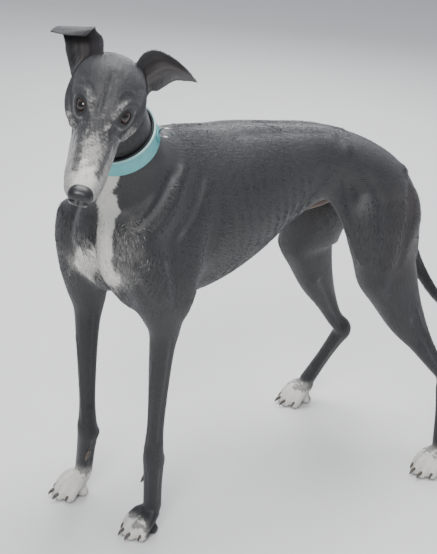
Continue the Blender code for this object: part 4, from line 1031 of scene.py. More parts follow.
def stroke(points, normals, path, width, depth):
    """Presses a groove into the skin along a path, or raises a ridge where the depth is negative."""
    laid = [points[np.argmin(((points - np.array(tuple(p))) ** 2).sum(axis=1))] for p in path]
    line = np.array(smooth_rows(laid, 4) if len(laid) > 1 else laid)
    reach = STROKE_REACH * width
    near = ((points > line.min(axis=0) - reach) & (points < line.max(axis=0) + reach)).all(axis=1)
    near = np.flatnonzero(near)
    away, along, _, length = along_path(points[near], line)
    ends = steps(np.minimum(along, length - along), -width * 0.2, STROKE_TAPER * width) if length else 1.0
    push = depth * np.exp(-((away / width) ** 2)) * ends
    points[near] -= push[:, None] * normals[near]


def sculpt(mesh, strokes):
    """Lays all the strokes on a mesh. Each is a path, a width and a depth."""
    points, normals = points_of(mesh), normals_of(mesh)
    for path, width, depth in strokes:
        stroke(points, normals, path, width, depth)
    move_points(mesh, points)


def body_strokes():
    """Grooves and ridges of the trunk, neck and legs."""
    ribs = []
    for k in range(RIB_COUNT):
        top = RIB_FIRST + RIB_STEP * k
        ribs.append(([(top + dx, y, z) for dx, y, z in RIB_PATH], RIB_WIDTH, RIB_DEPTH))
    for side in (1, -1):
        for path, width, depth in (*BODY_STROKES, *ribs):
            yield [bend((x, -side * y, z)) for x, y, z in path], width, depth
    for name in LEGS:
        strokes = FORELEG_STROKES if name.startswith("fore") else HINDLEG_STROKES
        for path, width, depth in strokes:
            yield [leg_spot(name, *spot) for spot in path], width, depth


def leg_spot(name, bone, place, out, ahead):
    """A place beside a leg: along one of its bones, then outward and ahead."""
    joints = leg_joints(LEGS[name])
    outward = heading_side(name) * (1 if name.endswith("right") else -1)
    forward = heading_ahead(name)
    return joints[bone].lerp(joints[bone + 1], place) + outward * out + forward * ahead


def head_strokes(strokes):
    """Strokes given in head coordinates, each on both sides."""
    for path, width, depth in strokes:
        for side in (1, -1):
            yield head_path(path, side), width, depth


def eye_axes(side):
    """Axes of the gap between the lids: towards its inner corner, upward, and outward."""
    centre = head_point(side * LID_GAP[0], LID_GAP[1], LID_GAP[2])
    outward = (centre - eye_centre(side)).normalized()
    corner = side * HEAD_RIGHT * LID_SLANT[0] + HEAD_MUZZLE * LID_SLANT[1] + HEAD_CROWN * LID_SLANT[2]
    corner = (corner - corner.dot(outward) * outward).normalized()
    return centre, corner, outward.cross(corner) * -side, outward


def eye_opening(side):
    """An almond that cuts the gap between the lids."""
    centre, corner, upward, outward = eye_axes(side)
    body = ball((0, 0, 0), 1.0, 40)
    for vert in body.verts:
        vert.co.y *= 1 - LID_PINCH * vert.co.x**2
    axes = Matrix((corner, upward, outward)).transposed()
    bmesh.ops.transform(body, matrix=axes.to_4x4() @ Matrix.Diagonal((*LID_CUT, 1)), verts=body.verts)
    bmesh.ops.translate(body, verts=body.verts, vec=centre)
    bmesh.ops.recalc_face_normals(body, faces=body.faces)
    return body


def cut(made, cutter):
    difference = made.modifiers.new("Cut", "BOOLEAN")
    difference.operation = "DIFFERENCE"
    difference.solver = "EXACT"
    difference.object = cutter
    settle(made)
    bpy.data.objects.remove(cutter, do_unlink=True)


def head_skin():
    made = remeshed("head_skin", head_bodies(), HEAD_VOXEL)
    smooth_skin(made.data, HEAD_VOXEL, head_softness(points_of(made.data)))
    shrink(made.data, COAT_DEPTH)
    sculpt(made.data, head_strokes(FACE_STROKES))
    cut(made, joined("lids", [eye_opening(side) for side in (1, -1)]))
    rooms = [ball(eye_centre(side), EYE_RADIUS + EYE_ROOM, 32) for side in (1, -1)]
    cut(made, joined("eye_rooms", rooms))
    return made


def body_skin():
    made = remeshed("body_skin", trunk_bodies(), BODY_VOXEL)
    smooth_skin(made.data, BODY_VOXEL, softness(points_of(made.data)))
    shrink(made.data, COAT_DEPTH)
    sculpt(made.data, body_strokes())
    return made


def trim(body, keep_head):
    """Keeps only the head's side of the collar's middle, or only the body's."""
    geometry = body.verts[:] + body.edges[:] + body.faces[:]
    middle = COLLAR_LOW + COLLAR_AXIS * COLLAR_WIDTH / 2
    bmesh.ops.bisect_plane(
        body, geom=geometry, plane_co=middle, plane_no=COLLAR_AXIS,
        clear_outer=not keep_head, clear_inner=keep_head,
    )


def whole_skin():
    """Head and body in one mesh, joined under the collar, with its soles flat on the floor."""
    whole = bmesh.new()
    for made, keep_head in ((head_skin(), True), (body_skin(), False)):
        part = bmesh.new()
        part.from_mesh(made.data)
        trim(part, keep_head)
        add_body(whole, part)
        bpy.data.objects.remove(made, do_unlink=True)
    rim = [edge for edge in whole.edges if edge.is_boundary]
    bmesh.ops.bridge_loops(whole, edges=rim)
    made = mesh_object("skin", whole)
    under_collar(made.data)
    points = points_of(made.data)
    points[:, 2] = points[:, 2].clip(SOLE_HEIGHT)
    move_points(made.data, points)
    return made


def under_collar(mesh):
    """Presses the neck in where the collar holds it."""
    points = points_of(mesh)
    axis, low = np.array(COLLAR_AXIS), np.array(COLLAR_LOW)
    height = (points - low) @ axis
    spoke = points - low - height[:, None] * axis
    radius = np.linalg.norm(spoke, axis=1)
    inside = (height > -COLLAR_ROOM) & (height < COLLAR_WIDTH + COLLAR_ROOM) & (radius < 0.12)
    most = LINING_INSIDE + COLLAR_TAPER * height - 0.0006
    outside_by = np.maximum(np.maximum(-height, height - COLLAR_WIDTH), 0)
    most = most + (outside_by / COLLAR_ROOM) ** 2 * 0.012
    press = inside & (radius > most)
    points[press] -= (spoke / radius[:, None] * (radius - most)[:, None])[press]
    move_points(mesh, points)


def ripple(points, size, seed):
    """Smooth noise between about -1 and 1, whose lumps are about this size."""
    random = np.random.default_rng(seed)
    total = np.zeros(len(points))
    for _ in range(RIPPLE_WAVES):
        wave = random.normal(size=3)
        wave *= 2 * math.pi / (size * 2 * np.linalg.norm(wave))
        total += np.sin(points @ wave + random.uniform(0, 2 * math.pi))
    return total / RIPPLE_WAVES**0.5


def steps(value, low, high):
    """A soft step from 0 at low to 1 at high."""
    share = np.clip((value - low) / (high - low), 0, 1)
    return share * share * (3 - 2 * share)


def path_distance(points, path):
    return along_path(points, path)[0]


def patch(points, path, reach, fade, ragged=0.0, seed=1):
    """1 near a path and 0 beyond its reach, with a ragged rim."""
    away = path_distance(points, path)
    if ragged:
        away = away + ragged * ripple(points, ragged * 3, seed)
        away = away + ragged * 0.5 * ripple(points, ragged, seed + 50)
    return 1 - steps(away, reach, reach + fade)


def mark(points, row):
    """How strongly one of the coat's patches shows at each point."""
    path, *shape, strength = row
    return patch(points, path, *shape) * strength


def head_coordinates(points):
    """Side, behind the nose tip and towards the crown, as three arrays."""
    away = points - np.array(NOSE_TIP)
    return away @ np.array(HEAD_RIGHT), -(away @ np.array(HEAD_MUZZLE)), away @ np.array(HEAD_CROWN)


def collar_height(points):
    """How far up the neck each point is from the collar's lower edge."""
    return (points - np.array(COLLAR_LOW)) @ np.array(COLLAR_AXIS)


def head_share(points):
    """1 on the head and 0 below the collar."""
    near = np.linalg.norm(points - np.array(head_point(0, 0.12, 0)), axis=1) < HEAD_REACH
    return steps(collar_height(points), 0.0, 0.03) * near


def blend(base, over, share):
    return base + (np.array(over) - base) * share[:, None]


def eye_rim(points):
    """How far round each eye a point is: 1 on the edge of the lids, more outside."""
    best = np.full(len(points), 9.0)
    for side in (1, -1):
        centre, corner, upward, outward = [np.array(tuple(v)) for v in eye_axes(side)]
        away = points - centre
        across, up, out = away @ corner, away @ upward, away @ outward
        round_eye = np.hypot(across / LID_CUT.x, up / LID_CUT.y)
        near = np.abs(out) < 0.012
        best = np.where(near, np.minimum(best, round_eye), best)
    return best


def ear_inside(points, normals):
    """1 on the hollow side of an ear, 0 on its back and elsewhere."""
    inside = np.zeros(len(points))
    for name in EARS:
        sheet, facing = ear_normals(ear_sheet(name))
        rows, columns = sheet.shape[:2]
        rim = np.minimum(np.arange(columns), np.arange(columns)[::-1])[None] / EAR_RIM
        rim = np.minimum(rim, (rows - 1 - np.arange(rows))[:, None] / EAR_RIM).clip(0, 1)
        rim = rim[EAR_BASE_ROWS:].ravel()
        sheet, facing = sheet[EAR_BASE_ROWS:].reshape(-1, 3), facing[EAR_BASE_ROWS:].reshape(-1, 3)
        low, high = sheet.min(axis=0) - 0.006, sheet.max(axis=0) + 0.006
        near = np.flatnonzero(((points > low) & (points < high)).all(axis=1))
        apart = np.linalg.norm(points[near][:, None] - sheet[None], axis=2)
        closest = apart.argmin(axis=1)
        turned = (normals[near] * facing[closest]).sum(axis=1)
        found = steps(-turned, -0.1, 0.5) * (apart.min(axis=1) < EAR_NEAR) * rim[closest]
        inside[near] = np.maximum(inside[near], found)
    return inside


def body_marks(points, normals, on_body):
    """Colour with painted shade low on the body and painted sheen on the back, frost, white and bareness of
    the trunk, neck and legs.
    """
    z = points[:, 2]
    colour = np.tile(np.array(SLATE), (len(points), 1))
    # Painted shade: darker low on the body and down the legs
    colour = blend(colour, PAINTED_LEG_SHADE, steps(z, *LEG_SHADE_HEIGHTS) * on_body * LEG_SHADE_SHARE)
    # Painted sheen: paler grey along the top of the back
    colour = blend(colour, PAINTED_BACK_SHEEN, steps(z, *BACK_SHEEN_HEIGHTS) * on_body * BACK_SHEEN_SHARE)
    colour = blend(colour, RUST, mark(points, RUST_PATCH))
    belly = mark(points, BARE_BELLY) * steps(-normals[:, 2], 0.0, 0.5)
    colour = blend(colour, BELLY_SKIN, belly)
    frost = mark(points, SHEATH_TIP)
    for row in (BRISKET, CHEST_GREY, SHOULDER_POINT):
        frost = np.maximum(frost, mark(points, row) * on_body)
    white = np.maximum(mark(points, THROAT_STRIPE) * on_body, mark(points, CHEST_WHITE) * on_body)
    return colour, frost, white, belly


def white_feet(points, frost, white):
    """White toes, with a grizzled rim above and behind them."""
    z = points[:, 2]
    edge = 0.004 * ripple(points, 0.012, 15) + 0.003 * ripple(points, 0.004, 16)
    for name, (toes_from, top) in WHITE_FEET.items():
        middle = paw_point(name, 0, 0, 0)
        out = (points - np.array(tuple(middle))) @ np.array(tuple(heading_ahead(name)))
        near = path_distance(points, [middle, leg_joints(LEGS[name])[3]]) < FOOT_REACH
        sock = steps(top - z + edge, 0.0, 0.006) * steps(out - toes_from + edge, 0.0, 0.005)
        white = np.maximum(white, sock * near)
        rim = steps(top + 0.02 - z, 0, 0.02) * steps(out - toes_from + 0.012, 0, 0.02)
        frost = np.maximum(frost, rim * near * 0.4)
    return frost, white


def face_frost(points):
    """The old dog's grey face: palest on the front of the muzzle, with dark streaks beside the bridge."""
    side, behind, height = head_coordinates(points)
    streak = ripple(points, 0.007, 21) * 0.5 + ripple(points, 0.0025, 22) * 0.5
    front = steps(MUZZLE_WHITE - behind + 0.010 * streak, 0.0, MUZZLE_FADES[0])
    face = front * (MUZZLE_FROST - MUZZLE_SIDE_LOSS * steps(np.abs(side), 0.008, 0.022))
    cheek = steps(MUZZLE_GREY - behind + 0.015 * streak, 0.0, MUZZLE_FADES[1])
    under = steps(-height, 0.016, 0.036) * steps(0.15 - behind, 0, 0.06)
    face = np.maximum(np.maximum(face, cheek * CHEEK_FROST), under * JAW_FROST)
    for path, reach, fade, much in FACE_PATCHES:
        for way in (1, -1):
            share = patch(points, head_path(path, way), reach, fade, FACE_RAG, FACE_RAG_SEED)
            if much > 0:
                face = np.maximum(face, share * (much + 0.12 * streak))
            else:
                face = face * (1 + much * share)
    return np.clip(face + 0.07 * streak * steps(face, 0.05, 0.3), 0, 1)


def lip_share(points):
    """1 along the lips."""
    return np.maximum(*[patch(points, head_path(LIP_LINE, side), *LIP_SHAPE) for side in (1, -1)])


def markings(points, normals):
    """The coat's colour at each point, with painted shade on the legs, painted sheen on the back and painted
    shadow under the nose, how frosted it is with white hairs, and how bare it is.
    """
    on_head = head_share(points)
    colour, frost, white, bare = body_marks(points, normals, 1 - on_head)
    frost, white = white_feet(points, frost, white)
    frost = np.where(on_head > 0.5, np.maximum(frost, face_frost(points)), frost)
    # Under the nose: partly the dark skin of the lips, partly painted shadow
    chin_lip_and_shadow = patch(points, [head_point(*CHIN_SHADOW_SPOT)], *CHIN_SHADOW_SHAPE)
    colour = blend(colour, LID_SKIN, chin_lip_and_shadow * 0.8)
    frost *= 1 - 0.9 * chin_lip_and_shadow

    # Bare and dark places: lids, lips, ears inside, pads
    rim = eye_rim(points)
    dark_rim = 1 - steps(rim, 1.20, 1.50)
    pale_rim = steps(rim, 1.40, 1.55) * (1 - steps(rim, 1.60, 1.95))
    pale_rim = pale_rim * (head_coordinates(points)[2] < 0.027)
    frost = np.where(rim < 1.6, frost * steps(rim, 1.3, 1.6), frost)
    frost = np.maximum(frost, pale_rim * 0.30)
    lips = lip_share(points)
    colour = blend(blend(colour, LID_SKIN, dark_rim), LID_SKIN, lips)
    frost *= 1 - lips
    inside = ear_inside(points, normals) * on_head
    deep = 0.5 + 0.5 * ripple(points, 0.010, 31)
    colour = blend(colour, EAR_PINK, inside * (0.75 + 0.25 * deep))
    frost *= 1 - 0.85 * inside
    pads = steps(0.007 - points[:, 2], 0.0, 0.003) * steps(-normals[:, 2], 0.5, 0.8)
    colour = blend(colour, LID_SKIN, pads)
    white *= 1 - pads
    for share in (dark_rim, lips, inside * 0.8, pads):
        bare = np.maximum(bare, share)
    return colour, np.clip(np.maximum(frost, white), 0, 1), bare


def lie_shares(points):
    """How much the hair follows the trunk, a leg, the head, and (the rest) the neck."""
    on_head = head_share(points)
    leg_line = np.full(len(points), 9.0)
    for name in LEGS:
        joints = leg_joints(LEGS[name])
        line = [joints[0].lerp(joints[1], 0.5), *joints[1:]]
        leg_line = np.minimum(leg_line, path_distance(points, line))
    on_leg = np.maximum(1 - steps(leg_line, 0.055, 0.095), steps(0.40 - points[:, 2], 0, 0.04))
    on_leg = on_leg * (1 - on_head)
    on_leg = np.maximum(on_leg, steps(points[:, 0], 0.34, 0.37) * (1 - on_head))
    down_neck = steps(collar_height(points), -0.14, -0.06) * steps(-points[:, 0], 0.2, 0.25)
    on_neck = down_neck * (1 - on_head) * (1 - on_leg)
    on_trunk = np.clip(1 - on_head - on_leg - on_neck, 0, 1)
    return on_trunk, on_leg, on_head, on_neck


def hair_lie(points, normals):
    """The way the hair lies at each point, along the skin."""
    on_trunk, on_leg, on_head, on_neck = lie_shares(points)
    lie = on_trunk[:, None] * np.array(TRUNK_LIE) + on_leg[:, None] * np.array(LEG_LIE)
    lie += on_head[:, None] * -np.array(HEAD_MUZZLE) + on_neck[:, None] * -np.array(COLLAR_AXIS)
    chest = steps(-points[:, 0], 0.25, 0.29) * (1 - on_head)
    lie += chest[:, None] * np.array((0.1, 0, -1.2))
    swirl = 0.30 * ripple(points, 0.06, 41) + 0.15 * ripple(points, 0.02, 42)
    lie += np.cross(normals, lie) * swirl[:, None]
    lie -= (lie * normals).sum(axis=1)[:, None] * normals
    return lie / np.maximum(np.linalg.norm(lie, axis=1), 1e-6)[:, None]


def solid_mesh(name, points, triangles, colours=None, maps=None):
    """A mesh object from arrays of points and triangles, with a colour for each point and a map."""
    mesh = bpy.data.meshes.new(name)
    mesh.vertices.add(len(points))
    mesh.vertices.foreach_set("co", points.ravel())
    mesh.loops.add(triangles.size)
    mesh.loops.foreach_set("vertex_index", triangles.ravel())
    mesh.polygons.add(len(triangles))
    mesh.polygons.foreach_set("loop_start", np.arange(0, triangles.size, 3))
    mesh.update(calc_edges=True)
    if maps is not None:
        mesh.uv_layers.new(name="OFBake").data.foreach_set("uv", maps[triangles.ravel()].ravel())
    if colours is not None:
        paint(mesh, "tint", colours)
    return placed(name, mesh)


def paint(mesh, name, colours):
    """Stores a colour for each point."""
    layer = mesh.color_attributes.new(name, "FLOAT_COLOR", "POINT")
    rows = np.ones((len(mesh.vertices), 4))
    rows[:, : colours.shape[1]] = colours
    layer.data.foreach_set("color", rows.ravel())


def scatter(mesh, chosen, density, seed):
    """Places on chosen faces of a mesh, so many for each square metre, with the faces' normals."""
    random = np.random.default_rng(seed)
    expected = read(mesh.polygons, "area", 1) * density * chosen
    number = np.floor(expected + random.random(len(expected))).astype(int)
    faces = np.repeat(np.arange(len(number)), number)
    weights = random.random((len(faces), 3))
    weights /= weights.sum(axis=1, keepdims=True)
    starts, totals = [read(mesh.polygons, name, 1, int)[faces] for name in ("loop_start", "loop_total")]
    corners, points = read(mesh.loops, "vertex_index", 1, int), points_of(mesh)
    first = random.integers(0, CORNER_DRAWS, len(faces)) % totals
    spots = 0
    for k in range(3):
        corner = corners[starts + (first + k) % totals]
        spots = spots + points[corner] * weights[:, k : k + 1]
    return spots, read(mesh.polygons, "normal")[faces]


def centre_map(points, line):
    """An unwrap round a centre line: how far round it, and how far along it."""
    line = np.array([tuple(p) for p in line], float)
    _, along, stretch, length = along_path(points, line)
    runs = np.diff(line, axis=0)
    axes = runs / np.linalg.norm(runs, axis=1, keepdims=True)
    firsts = np.cross(axes, (0.1, 1.0, 0.0))
    firsts /= np.linalg.norm(firsts, axis=1, keepdims=True)
    axis, first = axes[stretch], firsts[stretch]
    spoke = points - line[stretch]
    turn = np.arctan2((spoke * np.cross(axis, first)).sum(axis=1), (spoke * first).sum(axis=1))
    across = MAP_EDGE + (1 - 2 * MAP_EDGE) * (turn / (2 * math.pi) + 0.5)
    return np.stack([across, MAP_EDGE + (1 - 2 * MAP_EDGE) * along / length], axis=1)


def tufts(name, spots, normals, maps, length, width, lift, seed):
    """Thin pointed tufts, closed solids that lie along the skin. Each is small on its map."""
    random = np.random.default_rng(seed)
    count = len(spots)
    colour, frost, _ = markings(spots, normals)
    lie = hair_lie(spots, normals)
    lie += np.cross(normals, lie) * random.normal(0, TUFT_SPRAY, (count, 1))
    lie /= np.linalg.norm(lie, axis=1, keepdims=True)
    across = np.cross(normals, lie)
    long = length * random.uniform(*TUFT_LENGTHS, (count, 1))
    wide = width * random.uniform(*TUFT_WIDTHS, (count, 1))
    rise = lift * random.uniform(*TUFT_LIFTS, (count, 1)) * long
    root = spots - normals * TUFT_SINK
    middle = root + lie * long * TUFT_WIDEST + normals * rise * 0.3
    ridge = middle + normals * (wide * 0.45 + TUFT_SINK * 0.5)
    tip = root + lie * long + normals * (rise + TUFT_SINK)
    corners = np.stack([root, middle - across * wide / 2, middle + across * wide / 2, ridge, tip], axis=1)
    faces = np.array(SPINDLE_FACES)
    if np.dot(np.cross(across[0], lie[0]), normals[0]) > 0:
        faces = faces[:, ::-1]
    triangles = (np.arange(count)[:, None, None] * 5 + faces[None]).reshape(-1, 3)
    offsets = np.array(SPINDLE_MAP) * TUFT_ON_MAP
    maps = (maps[:, None] + offsets[None]).reshape(-1, 2)
    pale = (random.random(count) < frost * 1.05 - 0.05) * (0.55 + 0.45 * random.random(count))
    pale = np.maximum(pale, (frost > 0.9) * 0.9)
    colour = blend(colour * random.uniform(*TUFT_SHADES, (count, 1)), WHITE_HAIR, pale)
    made = solid_mesh(name, corners.reshape(-1, 3), triangles, np.repeat(colour, 5, axis=0), maps)
    made.data.shade_smooth()
    made.data.materials.append(tuft_material())
    return made


def grow(mesh, name, chosen, tuft, line, seed):
    """One piece of the coat: tufts on the chosen faces, mapped round a centre line."""
    density, length, width, lift = tuft
    spots, facing = scatter(mesh, chosen, density, seed)
    return tufts(name, spots, facing, centre_map(spots, line), length, width, lift, seed)


def face_middles(mesh):
    return read(mesh.polygons, "center"), read(mesh.polygons, "normal")


def coat_regions(middles, bare):
    """The coat's regions: piece, its faces, its tuft and its centre line."""
    height = collar_height(middles)
    near_head = np.linalg.norm(middles - np.array(head_point(0, 0.12, 0)), axis=1) < HEAD_REACH
    on_head = near_head & (height > COLLAR_WIDTH + LINING_EDGE)
    near_neck = np.linalg.norm(middles - np.array(COLLAR_LOW), axis=1) < NECK_REACH
    on_neck = near_neck & (height < -LINING_EDGE) & (height > NECK_LOW)
    covered = near_neck & (np.abs(height - COLLAR_WIDTH / 2) < COLLAR_WIDTH / 2 + LINING_EDGE)
    tail_line = [centre for centre, _ in TAIL_RINGS]
    on_tail = (path_distance(middles, tail_line[1:]) < TAIL_REACH) & (middles[:, 0] > TAIL_START)
    below = middles[:, 2] < LEG_TOP
    hairy = (bare < 0.5) & ~covered & (middles[:, 2] > PAD_TOP)
    sheet = np.vstack([dense_sheet(name) for name in EARS])
    on_ear = distance_to(middles, sheet, EAR_COAT_REACH) < EAR_COAT_REACH * NEARLY
    close_face = head_coordinates(middles)[1] < FACE_LENGTH
    spine = [bend((x, 0, z)) for x, z in SPINE_LINE]
    head_line = [head_point(0, -0.01, 0), head_point(0, 0.24, 0)]
    rest = hairy & ~on_head & ~on_neck & ~on_tail & ~below
    left = middles[:, 1] < np.interp(middles[:, 0], *np.array([(p.x, p.y) for p in spine]).T)
    yield "coat_face", on_head & hairy & ~on_ear & close_face, FACE_TUFT, head_line
    yield "coat_crown", on_head & hairy & ~on_ear & ~close_face, CROWN_TUFT, head_line
    yield "coat_ears", on_head & hairy & on_ear, EAR_TUFT, head_line
    yield "coat_neck", hairy & on_neck, NECK_TUFT, [centre for centre, *_ in NECK_RINGS]
    yield "coat_trunk_left", rest & left, TRUNK_TUFT, spine
    yield "coat_trunk_right", rest & ~left, TRUNK_TUFT, spine
    yield "coat_tail", hairy & on_tail, TAIL_TUFT, tail_line
    on_leg = hairy & below & ~on_tail & ~on_head & ~on_neck
    for name in LEGS:
        line = [*leg_joints(LEGS[name]), paw_point(name, 0, 0.05, 0.01)]
        others = [leg_joints(LEGS[other]) for other in LEGS if other != name]
        own = path_distance(middles, line)
        mine = np.all([own < path_distance(middles, other) for other in others], axis=0)
        yield f"coat_{name}", on_leg & mine, LEG_TUFT, line


def coat(mesh, middles, bare):
    """The coat's pieces, one for each region of the skin."""
    rows = enumerate(coat_regions(middles, bare), COAT_SEED)
    return [grow(mesh, *region, seed) for seed, region in rows]


def locks(mesh, middles, bare):
    """Longer hair where the coat stands out: on the chest, the brisket and behind the thighs."""
    made = []
    for name, seed, paths, reach, tuft in LOCKS:
        near = np.zeros(len(middles))
        for path in paths:
            near = np.maximum(near, 1 - steps(path_distance(middles, path), reach * 0.4, reach))
        made.append(grow(mesh, name, near * (bare < 0.7), tuft, paths[0], seed))
    return made


def new_material(name, roughness, metallic=0.0):
    """A material with its nodes, links and shader."""
    made = bpy.data.materials.new(name)
    made.use_nodes = True
    shader = made.node_tree.nodes["Principled BSDF"]
    shader.inputs["Roughness"].default_value = roughness
    shader.inputs["Metallic"].default_value = metallic
    return made, shader


def node(made, kind, **values):
    """A node, with its properties set or its inputs given by name."""
    new = made.node_tree.nodes.new(kind)
    for name, value in values.items():
        if name in new.bl_rna.properties:
            setattr(new, name, value)
        else:
            new.inputs[name.replace("_", " ")].default_value = value
    return new


def feed(made, socket, value):
    """Gives an input a link or a value."""
    if isinstance(value, bpy.types.NodeSocket):
        made.node_tree.links.new(value, socket)
    else:
        socket.default_value = value


def math_node(made, operation, *values, clamp=False):
    new = node(made, "ShaderNodeMath", operation=operation, use_clamp=clamp)
    for socket, value in zip(new.inputs, values):
        feed(made, socket, value)
    return new.outputs[0]


def mixed(made, share, first, second):
    """A mix of two colours, each a socket or a value."""
    new = node(made, "ShaderNodeMix", data_type="RGBA")
    for place, value in ((0, share), (6, first), (7, second)):
        feed(made, new.inputs[place], value)
    return new.outputs[2]


def noise(made, scale, detail, **more):
    """Noise in the piece's own coordinates."""
    new = node(made, "ShaderNodeTexNoise", Scale=scale, Detail=detail, **more)
    feed(made, new.inputs["Vector"], node(made, "ShaderNodeTexCoord").outputs["Object"])
    return new.outputs["Fac"]


def two_tone(made, shader, share, dark, light):
    """A surface that varies between two colours."""
    feed(made, shader.inputs["Base Color"], mixed(made, share, (*dark, 1), (*light, 1)))


def bumpy(made, shader, height, depth, strength):
    """Bump from a height."""
    bump = node(made, "ShaderNodeBump", Distance=depth)
    feed(made, bump.inputs["Strength"], strength)
    feed(made, bump.inputs["Height"], height)
    feed(made, shader.inputs["Normal"], bump.outputs[0])


def stored(made, name):
    """A colour stored on the points."""
    return node(made, "ShaderNodeVertexColor", layer_name=name).outputs["Color"]


def split(made, colour):
    """The three parts of a colour."""
    new = node(made, "ShaderNodeSeparateColor")
    feed(made, new.inputs[0], colour)
    return new.outputs


def shaded_tint(made, grain, much, least):
    """The stored colour, lighter and darker with a noise."""
    new = node(made, "ShaderNodeVectorMath", operation="SCALE")
    feed(made, new.inputs[0], stored(made, "tint"))
    feed(made, new.inputs["Scale"], math_node(made, "MULTIPLY_ADD", grain, much, least))
    return new.outputs[0]


def set_sheen(shader):
    shader.inputs["Sheen Weight"].default_value = COAT_SHEEN
    shader.inputs["Sheen Roughness"].default_value = SHEEN_ROUGHNESS
    shader.inputs["Sheen Tint"].default_value = SHEEN_TINT


def stretched_noise(made, axes, detail=2.0):
    """Noise in hairs' shape: each axis is a direction and how fine the noise is along it."""
    place = node(made, "ShaderNodeTexCoord").outputs["Object"]
    joined_axes = node(made, "ShaderNodeCombineXYZ")
    for k, (direction, scale) in enumerate(axes):
        dot = node(made, "ShaderNodeVectorMath", operation="DOT_PRODUCT")
        made.node_tree.links.new(place, dot.inputs[0])
        dot.inputs[1].default_value = [c * scale for c in direction]
        made.node_tree.links.new(dot.outputs["Value"], joined_axes.inputs[k])
    noise = node(made, "ShaderNodeTexNoise", Scale=1.0, Detail=detail, Roughness=0.6)
    made.node_tree.links.new(joined_axes.outputs[0], noise.inputs["Vector"])
    return noise.outputs["Fac"]


def hair_frames(fine, along):
    """The directions that hairs follow on the trunk, legs, head and neck, with the noise's scale."""
    neck_side = COLLAR_AXIS.cross(Vector((0, 0, 1))).normalized()
    neck_front = COLLAR_AXIS.cross(neck_side)
    yield (((0.96, 0, -0.28), along), ((0, 1, 0), fine), ((0.28, 0, 0.96), fine))
    yield (((1, 0, 0), fine), ((0, 1, 0), fine), ((0, 0, 1), along))
    yield ((HEAD_RIGHT, fine), (HEAD_MUZZLE, along), (HEAD_CROWN, fine))
    yield ((COLLAR_AXIS, along), (neck_side, fine), (neck_front, fine))


def hair_height(made, fine, along):
    """Noise along the lie of the hair, mixed from the four frames by the stored shares."""
    shares = split(made, stored(made, "lie"))
    *frames, total = [stretched_noise(made, axes) for axes in hair_frames(fine, along)]
    base = total
    for frame, share in zip(frames, shares):
        part = math_node(made, "MULTIPLY", math_node(made, "SUBTRACT", frame, base), share)
        total = math_node(made, "ADD", total, part)
    return total


def skin_material():
    """Short hair: colour from the markings, white hairs by a fine streaked noise, and hair-shaped bump."""
    made, shader = new_material("short_coat", 0.5)
    frost, bare, _ = split(made, stored(made, "marks"))
    fine = hair_height(made, HAIR_FINE, HAIR_LONG)
    clumps = hair_height(made, CLUMP_FINE, CLUMP_LONG)
    # White hairs: the share of frost decides how much of the noise they take
    spread = math_node(made, "MULTIPLY_ADD", fine, 1.8, -0.85)
    reach = math_node(made, "ADD", spread, math_node(made, "MULTIPLY", frost, 1.3))
    reach = math_node(made, "MULTIPLY", reach, 1.5, clamp=True)
    white = math_node(made, "MULTIPLY", reach, frost, clamp=True)
    whole = mixed(made, white, shaded_tint(made, fine, 1.1, 0.45), (*WHITE_HAIR, 1))
    feed(made, shader.inputs["Base Color"], whole)
    both = math_node(made, "ADD", math_node(made, "MULTIPLY", clumps, 1.6), fine)
    bumpy(made, shader, both, HAIR_BUMP, math_node(made, "MULTIPLY_ADD", bare, -0.7, 0.85))
    rough = math_node(made, "MULTIPLY_ADD", fine, 0.25, COAT_ROUGHNESS)
    feed(made, shader.inputs["Roughness"], math_node(made, "MULTIPLY_ADD", bare, 0.12, rough))
    set_sheen(shader)
    shader.inputs["Specular IOR Level"].default_value = 0.55
    return made


def tuft_material():
    """The same coat for the tufts, whose colour each tuft carries."""
    made = bpy.data.materials.get("coat_tufts")
    if made:
        return made
    made, shader = new_material("coat_tufts", 0.52)
    feed(made, shader.inputs["Base Color"], shaded_tint(made, noise(made, 900.0, 1.0), 0.6, 0.7))
    set_sheen(shader)
    return made


def painted_skin():
    """The finished skin, with its markings stored on its points."""
    skin = whole_skin()
    points, normals = points_of(skin.data), normals_of(skin.data)
    colour, frost, bare = markings(points, normals)
    paint(skin.data, "tint", colour)
    paint(skin.data, "marks", np.stack([frost, bare, bare], axis=1))
    paint(skin.data, "lie", np.stack(lie_shares(points)[:3], axis=1))
    skin.data.shade_smooth()
    skin.data.materials.append(skin_material())
    return skin


